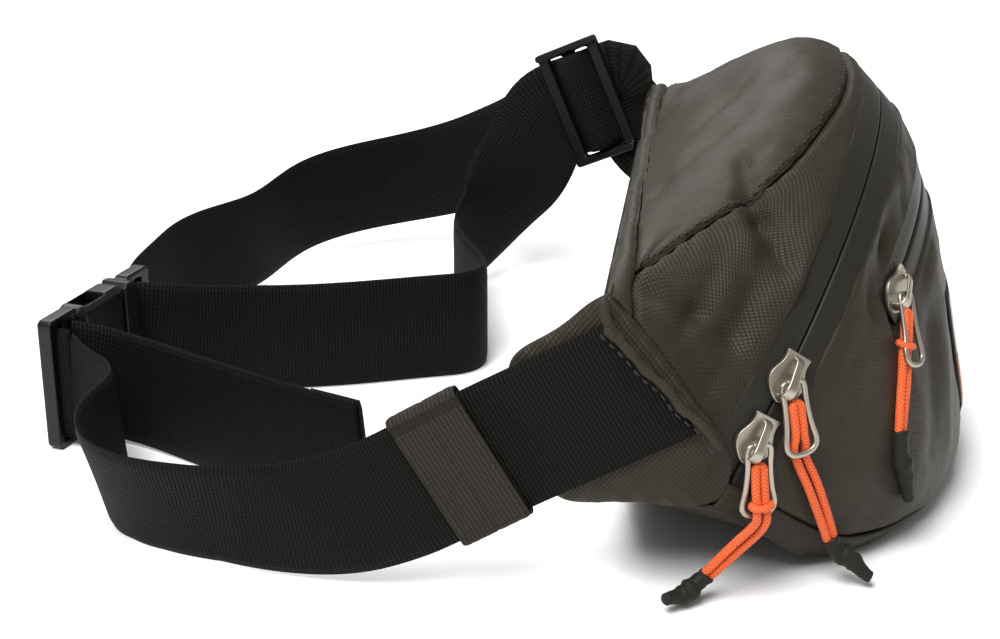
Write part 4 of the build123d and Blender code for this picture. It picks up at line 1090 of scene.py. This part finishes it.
def make_label():
    """Sewn patch: dark raised rim round a plain pale field and a plain orange band."""
    for name, half_w, half_h, low, high, proud, material in (
        ("label_rim", LABEL_HALF_W, LABEL_HALF_H, -1.0, 1.0, 0.9, shrink_finish()),
        ("label_pale_field", LABEL_HALF_W - 2.2, LABEL_HALF_H - 2.2, -0.1, 1.0, 1.15, pale_patch_finish()),
        ("label_orange_band", LABEL_HALF_W - 2.2, LABEL_HALF_H - 2.2, -1.0, -0.16, 1.15, orange_patch_finish()),
    ):
        xs = np.linspace(-half_w, half_w, 45)
        zs = np.linspace(high * half_h, low * half_h, 28) + LABEL_Z
        grid = np.zeros((len(xs), len(zs), 3))
        for i, x in enumerate(xs):
            for j, z in enumerate(zs):
                p, n = front_point(x, z)
                edge = min(half_w - abs(x), z - LABEL_Z - low * half_h, high * half_h - (z - LABEL_Z))
                p = np.array([x, p[1], z])
                grid[i, j] = p + np.array([0, -1.0, 0]) * (proud * (1 - 0.6 * math.exp(-max(edge, 0) / 0.35)))
        grid[:, :, 1] = spline(np.arange(len(xs)), grid[:, :, 1], np.arange(len(xs)))
        piece = sheet_mesh(name, grid, 0.7, material)
        if name == "label_rim":
            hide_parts("label_base")


def pale_patch_finish():
    return finish_material("pale_patch", (0.62, 0.61, 0.59), 0.55, depth=0.00004, vary=0.05, scale=90.0)


def orange_patch_finish():
    return finish_material("orange_patch", (0.75, 0.13, 0.02), 0.5, depth=0.00004, vary=0.05, scale=90.0)


# ------------------------------------------------------------------ pulls
PULLS = {
    "main_upper": dict(
        zip=MAIN_ZIP, at=61.7,
        pivot=(-103.98, 1.41, 62.17), down=(-0.0929, -0.1940, -0.9766), face=(-0.8346, -0.5197, 0.1827),
        in_ring=[(7.0, 0, 0.4), (13.0, 0, 0.3), (18.6, 0, -1.2), (21.6, 0, -1.9)], knot=None,
        cord=[(-103.0, -6.9, 30.0), (-99.0, -12.0, 13.6)], tube_end=(-98.6, -24.0, 3.5)),
    "main_lower": dict(
        zip=MAIN_ZIP, at=70.9,
        pivot=(-111.45, 9.28, 46.73), down=(-0.0217, -0.0325, -0.9992), face=(-0.8930, -0.4487, 0.0340),
        in_ring=[(7.0, 0, 0.4), (13.0, 0, 0.9), (18.8, 0, 2.5), (22.4, 0, 2.0)], knot=9.6,
        cord=[(-112.0, 14.0, 16.5), (-112.6, 22.0, 7.2)], tube_end=(-121.0, 32.0, 3.4)),
    "pocket": dict(
        zip=POCKET_ZIP, at=41.0,
        pivot=(-60.30, -30.24, 72.56), down=(-0.3853, -0.1879, -0.9034), face=(-0.4371, -0.8250, 0.3581),
        in_ring=[(6.0, 1.0, 0.2), (12.0, 2.0, -0.4), (18.0, 2.6, -1.8), (22.0, 2.8, -2.2)], knot=8.5,
        cord=[(-76.6, -30.4, 45.5), (-79.0, -30.3, 37.5)], tube_end=(-77.5, -34.8, 17.5)),
}
STRAND_R = 1.2


def route_line(route):
    """Points along the smooth cord line that has the route as its control points."""
    curve = bpy.data.curves.new("route", "CURVE")
    curve.dimensions = "3D"
    curve.resolution_u = 16
    line = curve.splines.new("NURBS")
    line.points.add(len(route) - 1)
    for point, place in zip(line.points, route):
        point.co = (*(np.asarray(place) * MM), 1)
    line.order_u = 3
    line.use_endpoint_u = True
    holder = bpy.data.objects.new("route", curve)
    bpy.context.scene.collection.objects.link(holder)
    mesh = bpy.data.meshes.new_from_object(holder.evaluated_get(bpy.context.evaluated_depsgraph_get()))
    points = np.array([v.co for v in mesh.vertices]) / MM
    bpy.data.objects.remove(holder)
    bpy.data.curves.remove(curve)
    bpy.data.meshes.remove(mesh)
    return points


PLATE_L, PLATE_W = 14.4, 11.5
PLATE_TOP = [(-0.5, 0.0), (-0.5, 0.12), (-0.5, 0.22), (-0.5, 0.31), (-0.495, 0.333)]
PLATE_SIDE = [(-0.475, 0.342), (-0.38, 0.325), (-0.27, 0.335), (-0.16, 0.385), (-0.05, 0.45), (0.06, 0.485),
              (0.17, 0.465), (0.28, 0.39), (0.38, 0.27), (0.46, 0.13), (0.49, 0.0)]
BRIDGE = [(-5.7, -0.4), (-5.6, 0.8), (-4.9, 1.8), (-3.2, 2.5), (-0.8, 3.1), (1.4, 3.7), (3.4, 3.95), (4.7, 3.3),
          (5.3, 2.0), (5.35, 0.3)]
RING_LINE = [(0.0, 1.6), (0.35, 2.9), (1.7, 3.35), (5.0, 3.3), (10.0, 3.55), (13.6, 4.1), (16.2, 4.65), (18.2, 4.5),
             (19.6, 3.2), (20.1, 1.5)]


def make_slider(label):
    """Slider: shield plate with rolled sides under an arched bridge."""
    pull = PULLS[label]
    zip_ = pull["zip"]
    body = f"{label}_slider_body"
    centre, up, axis = zip_frame(zip_)
    a, lean = math.radians(pull["at"]), math.radians(zip_["lean"])
    out = up * math.cos(a) - np.array([math.sin(a), 0, 0])
    along = -np.array([math.cos(a), 0, 0]) - up * math.sin(a)
    normal = out * math.cos(lean) + axis * math.sin(lean)
    side = np.cross(normal, along)
    origin = centre + out * zip_["radius"] + normal * 0.3
    half = np.concatenate([PLATE_TOP, evenly(PLATE_SIDE, 44)]) * [PLATE_L, PLATE_W]
    outline = np.concatenate([half, half[-2:0:-1] * [1, -1]])
    levels = [(0.03, 0.0), (0.0, 0.05), (0.0, 0.6), (0.0, 1.16), (0.005, 1.24), (0.02, 1.29), (0.04, 1.3), (0.08, 1.3),
              (0.4, 1.3), (0.85, 1.3)]
    rings = []
    for inset, lift in levels:
        flat = outline * (1 - inset)
        rolled = -0.15 * np.clip((np.abs(flat[:, 1]) - 3.2) / 2.3, 0, 1) ** 2
        rings.append(origin + np.outer(flat[:, 0], along) + np.outer(flat[:, 1], side)
                     + np.outer(lift + rolled, normal))
    count, sides = len(rings), len(outline)
    faces = [(i * sides + j, i * sides + (j + 1) % sides, (i + 1) * sides + (j + 1) % sides, (i + 1) * sides + j)
             for i in range(count - 1) for j in range(sides)]
    faces += [tuple(range(sides))[::-1], tuple((count - 1) * sides + j for j in range(sides))]
    faces = [face[::-1] for face in faces]
    plate = finish_mesh(f"{label}_plate", np.concatenate(rings), faces, np.zeros((count * sides, 2)),
                        metal_finish(), body)
    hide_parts(f"{label}_slider")
    arch = evenly(BRIDGE, 60)
    path = origin + np.outer(arch[:, 0], along) + np.outer(arch[:, 1] + 1.3, normal)
    width = 1.35 + 0.25 * smooth((arch[:, 0] - 0.5) / 3.5)
    tube_mesh(f"{label}_bridge", path, width, metal_finish(), body, sides=28,
              ups=np.tile(normal * 0.9 + along * 0.43, (len(path), 1)), flat=0.36, square=0.55)


def make_ring(label):
    """Pull ring of flattened wire: narrow at the bridge, round at the cord."""
    pull = PULLS[label]
    pivot, down, face = (np.array(pull[k], float) for k in ("pivot", "down", "face"))
    across = np.cross(down, face)
    corners = [*RING_LINE, *[(a, -w) for a, w in reversed(RING_LINE)]]
    turns = np.array(corners[-4:] + corners + corners[:5], float)
    knots = distances(turns)
    flat = spline(knots, turns, np.linspace(knots[4], knots[4 + len(corners)], 150))
    path = pivot + np.outer(flat[:, 0], down) + np.outer(flat[:, 1], across)
    ring = tube_mesh(f"{label}_wire_ring", path, 0.78, metal_finish(), f"{label}_pull_body", sides=20,
                     ups=face, flat=0.85, square=0.75)
    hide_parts(f"{label}_ring")


def make_pull(label):
    """Doubled cord through the ring, its knot, and the shrink tube over its end."""
    pull = PULLS[label]
    body = f"{label}_pull_body"
    pivot, down, face = (np.array(pull[k], float) for k in ("pivot", "down", "face"))
    across = np.cross(down, face)
    route = [pivot + down * a + across * w + face * lift for a, w, lift in pull["in_ring"]]
    route += [np.array(p, float) for p in pull["cord"]]
    line = route_line(route)
    along = distances(line)
    at = np.linspace(0, along[-1], 90)
    fine = np.stack([np.interp(at, along, line[:, k]) for k in range(3)], axis=1)
    ways = unit(np.gradient(fine, axis=0))
    side = unit(np.cross(ways, face))
    share = at / along[-1]
    spread = 0.45 * np.exp(-((at - 11.5) / 2.2) ** 2) if pull["knot"] is None else -0.12 * np.exp(-((at - pull["knot"]) / 1.5) ** 2)
    gap = STRAND_R * (1.0 + spread + 0.25 * np.sin(share * math.pi) ** 2 - 0.1 * smooth((share - 0.85) / 0.15))
    turns = np.linspace(0, math.pi, 18)[1:-1, None]
    over = (fine[0] + side[0] * (gap[0] * np.cos(turns)) - ways[0] * (STRAND_R * 0.95 * np.sin(turns))
            - face * (0.35 * np.sin(turns)))
    doubled = np.concatenate([(fine + side * gap[:, None])[::-1], over, fine - side * gap[:, None]])
    cord = tube_mesh(f"{label}_doubled_cord", doubled, STRAND_R, cord_finish(), body, sides=14, ups=face)
    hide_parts(f"{label}_pull_cord")
    if pull["knot"]:
        k = np.abs(at - pull["knot"]).argmin()
        front = np.cross(side[k], ways[k])
        turns = np.linspace(0, 2 * math.pi, 44)[:, None]
        band = fine[k] + side[k] * (2.75 * np.cos(turns)) + front * (1.7 * np.sin(turns)) + ways[k] * (0.5 * np.sin(turns))
        tube_mesh(f"{label}_cord_knot", band, 1.0, cord_finish(), body, sides=12, ups=ways[k])
    start, end = route[-1], np.array(pull["tube_end"], float)
    length = np.linalg.norm(end - start)
    heading = unit(fine[-1] - fine[-4])
    start = start - heading * 1.2
    s = np.linspace(0, 1, 56)
    t = s[:, None]
    bent = start * (1 - t) ** 2 + (start + heading * length * 0.45) * (2 * t * (1 - t)) + end * t ** 2
    radius = (2.3 + 0.85 * np.exp(-((s - 0.5) / 0.12) ** 2) + 0.4 * np.exp(-((s - 0.7) / 0.05) ** 2)
              - 0.45 * smooth((s - 0.76) / 0.1) + 0.1 * np.sin(s * 31))
    radius[0], radius[-1] = radius[0] * 0.94, radius[-1] * 0.84
    crook = (0.9 * np.sin(t * 8.0) * t) * unit(np.cross(end - start, face))
    tube = tube_mesh(f"{label}_shrink_end", bent + crook, radius, shrink_finish(), body, sides=20)
    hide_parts(f"{label}_pull_end")


# ------------------------------------------------------------------ hard pieces
ROUNDED = {"buckle_female": "buckle_socket", "buckle_male": "pack", "tri_glide": "pack"}
PRONGS = ("buckle_prong_upper", "buckle_prong_lower")


def make_rounded(node, body):
    """Moulded piece with the soft corners that a mould leaves."""
    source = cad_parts[node].data.copy()
    holder = bpy.data.objects.new(f"{node}_blank", source)
    bpy.context.scene.collection.objects.link(holder)
    skin = holder.modifiers.new("skin", "REMESH")
    skin.mode = "VOXEL"
    skin.voxel_size = 0.00042
    soften = holder.modifiers.new("soften", "SMOOTH")
    soften.factor = 0.5
    soften.iterations = 6
    mesh = bpy.data.meshes.new_from_object(holder.evaluated_get(bpy.context.evaluated_depsgraph_get()))
    bpy.data.objects.remove(holder)
    bpy.data.meshes.remove(source)
    mesh.materials.clear()
    mesh.materials.append(plastic_finish())
    mesh.polygons.foreach_set("use_smooth", np.ones(len(mesh.polygons), bool))
    piece = bpy.data.objects.new(f"{node}_moulding", mesh)
    bpy.context.scene.collection.objects.link(piece)
    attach(piece, body)
    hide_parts(node)


def lining_finish():
    return finish_material("thin_lining", (0.1, 0.1, 0.1), 0.8, depth=0.00004, vary=0.1, scale=90.0)


def foam_finish():
    return finish_material("closed_foam", (0.5, 0.5, 0.48), 0.9, depth=0.0002, vary=0.1, scale=150.0)


def dress_cad_nodes():
    """Finishes for the pieces that keep their packed shape."""
    finishes = {node: plastic_finish for node in PRONGS}
    finishes["pocket_lining"] = lining_finish
    finishes["back_foam"] = foam_finish
    for node, finish in finishes.items():
        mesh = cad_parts[node].data
        mesh.materials.clear()
        mesh.materials.append(finish())


# ------------------------------------------------------------------ stage
CAMERA_AT = (-0.55335, 0.02079, 0.250)
CAMERA_PAN, CAMERA_DIP, CAMERA_LENS = 7.4, 21.0, 65.66


def make_stage():
    scene = bpy.context.scene
    scene.view_settings.view_transform = "Standard"
    mesh = bpy.data.meshes.new("floor")
    mesh.from_pydata([(-4, -4, -0.0004), (4, -4, -0.0004), (4, 4, -0.0004), (-4, 4, -0.0004)], [], [(0, 1, 2, 3)])
    floor = bpy.data.objects.new("floor", mesh)
    scene.collection.objects.link(floor)
    paper = bpy.data.materials.new("pale_floor")
    paper.use_nodes = True
    shader = paper.node_tree.nodes["Principled BSDF"]
    shader.inputs["Base Color"].default_value = (0.93, 0.93, 0.925, 1)
    shader.inputs["Roughness"].default_value = 0.9
    shader.inputs["Specular IOR Level"].default_value = 0.1
    mesh.materials.append(paper)
    world = bpy.data.worlds.new("studio")
    world.use_nodes = True
    world.node_tree.nodes["Background"].inputs["Color"].default_value = (1, 1, 1, 1)
    world.node_tree.nodes["Background"].inputs["Strength"].default_value = choices().fill_light
    scene.world = world
    for name, place, target, size, watts in (
        ("key_light", (-0.35, 0.35, 1.45), (0, 0.0, 0.05), 0.8, 14.0),
        ("side_light", (-0.8, 0.3, 1.15), (0, 0.0, 0.05), 0.7, 19.0),
        ("back_light", (0.9, 0.5, 1.0), (0, 0.05, 0.05), 0.9, 12.0),
    ):
        light = bpy.data.lights.new(name, "AREA")
        light.size = size
        light.energy = watts * choices().key_light
        holder = bpy.data.objects.new(name, light)
        holder.location = place
        holder.rotation_euler = (Vector(target) - Vector(place)).to_track_quat("-Z", "Y").to_euler()
        scene.collection.objects.link(holder)
    lens = bpy.data.cameras.new("camera")
    lens.lens = CAMERA_LENS
    lens.sensor_width = 36.0
    lens.clip_start = 0.01
    camera = bpy.data.objects.new("camera", lens)
    pan, dip = math.radians(CAMERA_PAN), math.radians(CAMERA_DIP)
    look = Vector((math.cos(pan) * math.cos(dip), math.sin(pan) * math.cos(dip), -math.sin(dip)))
    camera.location = CAMERA_AT
    camera.rotation_euler = look.to_track_quat("-Z", "Y").to_euler()
    scene.collection.objects.link(camera)
    scene.camera = camera


# ------------------------------------------------------------------ settings and operators
class RopeBagSettings(bpy.types.PropertyGroup):
    """Sizes and colours that a user would change."""
    fabric_colour: FloatVectorProperty(
        name="Fabric", description="Colour of the coated fabric", subtype="COLOR", min=0, max=1,
        default=(0.0315, 0.0265, 0.0178))
    webbing_colour: FloatVectorProperty(
        name="Webbing", description="Colour of the belt webbing", subtype="COLOR", min=0, max=1,
        default=(0.0066, 0.0064, 0.005))
    cord_colour: FloatVectorProperty(
        name="Cord", description="Colour of the pull cords", subtype="COLOR", min=0, max=1,
        default=(0.86, 0.115, 0.012))
    grain_pitch: FloatProperty(
        name="Grain Pitch", description="Distance between diamonds of the fabric's grain", unit="LENGTH",
        default=0.0014, min=0.0005, max=0.005)
    fill_light: FloatProperty(
        name="Fill", description="Strength of the even studio light", default=0.31, min=0, max=5)
    key_light: FloatProperty(
        name="Key", description="Strength of the studio lamps", default=1.0, min=0, max=5)


def operator(label, words, *steps):
    """Operator class that runs the given steps."""
    def execute(self, context):
        for step in steps:
            step()
        return {"FINISHED"}
    names = {"bl_idname": f"ropebag.{label}", "bl_label": words, "__doc__": f"{words} of the bag",
             "execute": execute, "bl_options": {"REGISTER", "UNDO"}}
    return type(f"ROPEBAG_OT_{label}", (bpy.types.Operator,), names)


OPERATORS = [
    operator("stage", "Stage, lights and camera", make_stage),
    operator("covers", "Fabric panels", make_edge_band, make_top_panel, make_side_yoke, make_front_panel),
    operator("base", "Base and back panels", make_bottom_panel, make_back_panel),
    operator("pad", "Back pad", make_back_pad),
    operator("zips", "Zip tapes", make_zip_tapes),
    operator("wings", "Hip wings", lambda: make_wing("left", -1), lambda: make_wing("right", 1), make_wing_bindings),
    operator("belt", "Belt webbing", make_webbing),
    operator("keeper", "Elastic keeper", make_keeper),
    operator("label", "Front label", make_label),
    operator("sliders", "Zip sliders and rings", *[lambda f=f, label=label: f(label) for label in PULLS
                                                   for f in (make_slider, make_ring)]),
    operator("pulls", "Cords and shrink tubes", *[lambda label=label: make_pull(label) for label in PULLS]),
    operator("hardware", "Buckle and adjuster", *[lambda n=n, b=b: make_rounded(n, b) for n, b in ROUNDED.items()],
             dress_cad_nodes),
]


class ROPEBAG_PT_panel(bpy.types.Panel):
    """Lists the bag's pieces and settings"""
    bl_label = "Rope Bag"
    bl_idname = "ROPEBAG_PT_panel"
    bl_space_type = "VIEW_3D"
    bl_region_type = "UI"
    bl_category = "Rope Bag"

    def draw(self, context):
        for name in RopeBagSettings.__annotations__:
            self.layout.prop(context.scene.rope_bag, name)
        for entry in OPERATORS:
            self.layout.operator(entry.bl_idname)


CLASSES = [RopeBagSettings, *OPERATORS, ROPEBAG_PT_panel]


def register():
    for entry in CLASSES:
        bpy.utils.register_class(entry)
    bpy.types.Scene.rope_bag = PointerProperty(type=RopeBagSettings)


def unregister():
    del bpy.types.Scene.rope_bag
    for entry in reversed(CLASSES):
        bpy.utils.unregister_class(entry)


def corners(box):
    return [[float(v) for v in corner] for corner in box]


def main():
    register()
    for entry in OPERATORS:
        category, name = entry.bl_idname.split(".")
        getattr(getattr(bpy.ops, category), name)()
    bpy.context.view_layer.update()
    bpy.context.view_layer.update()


if __name__ == "__main__":
    main()
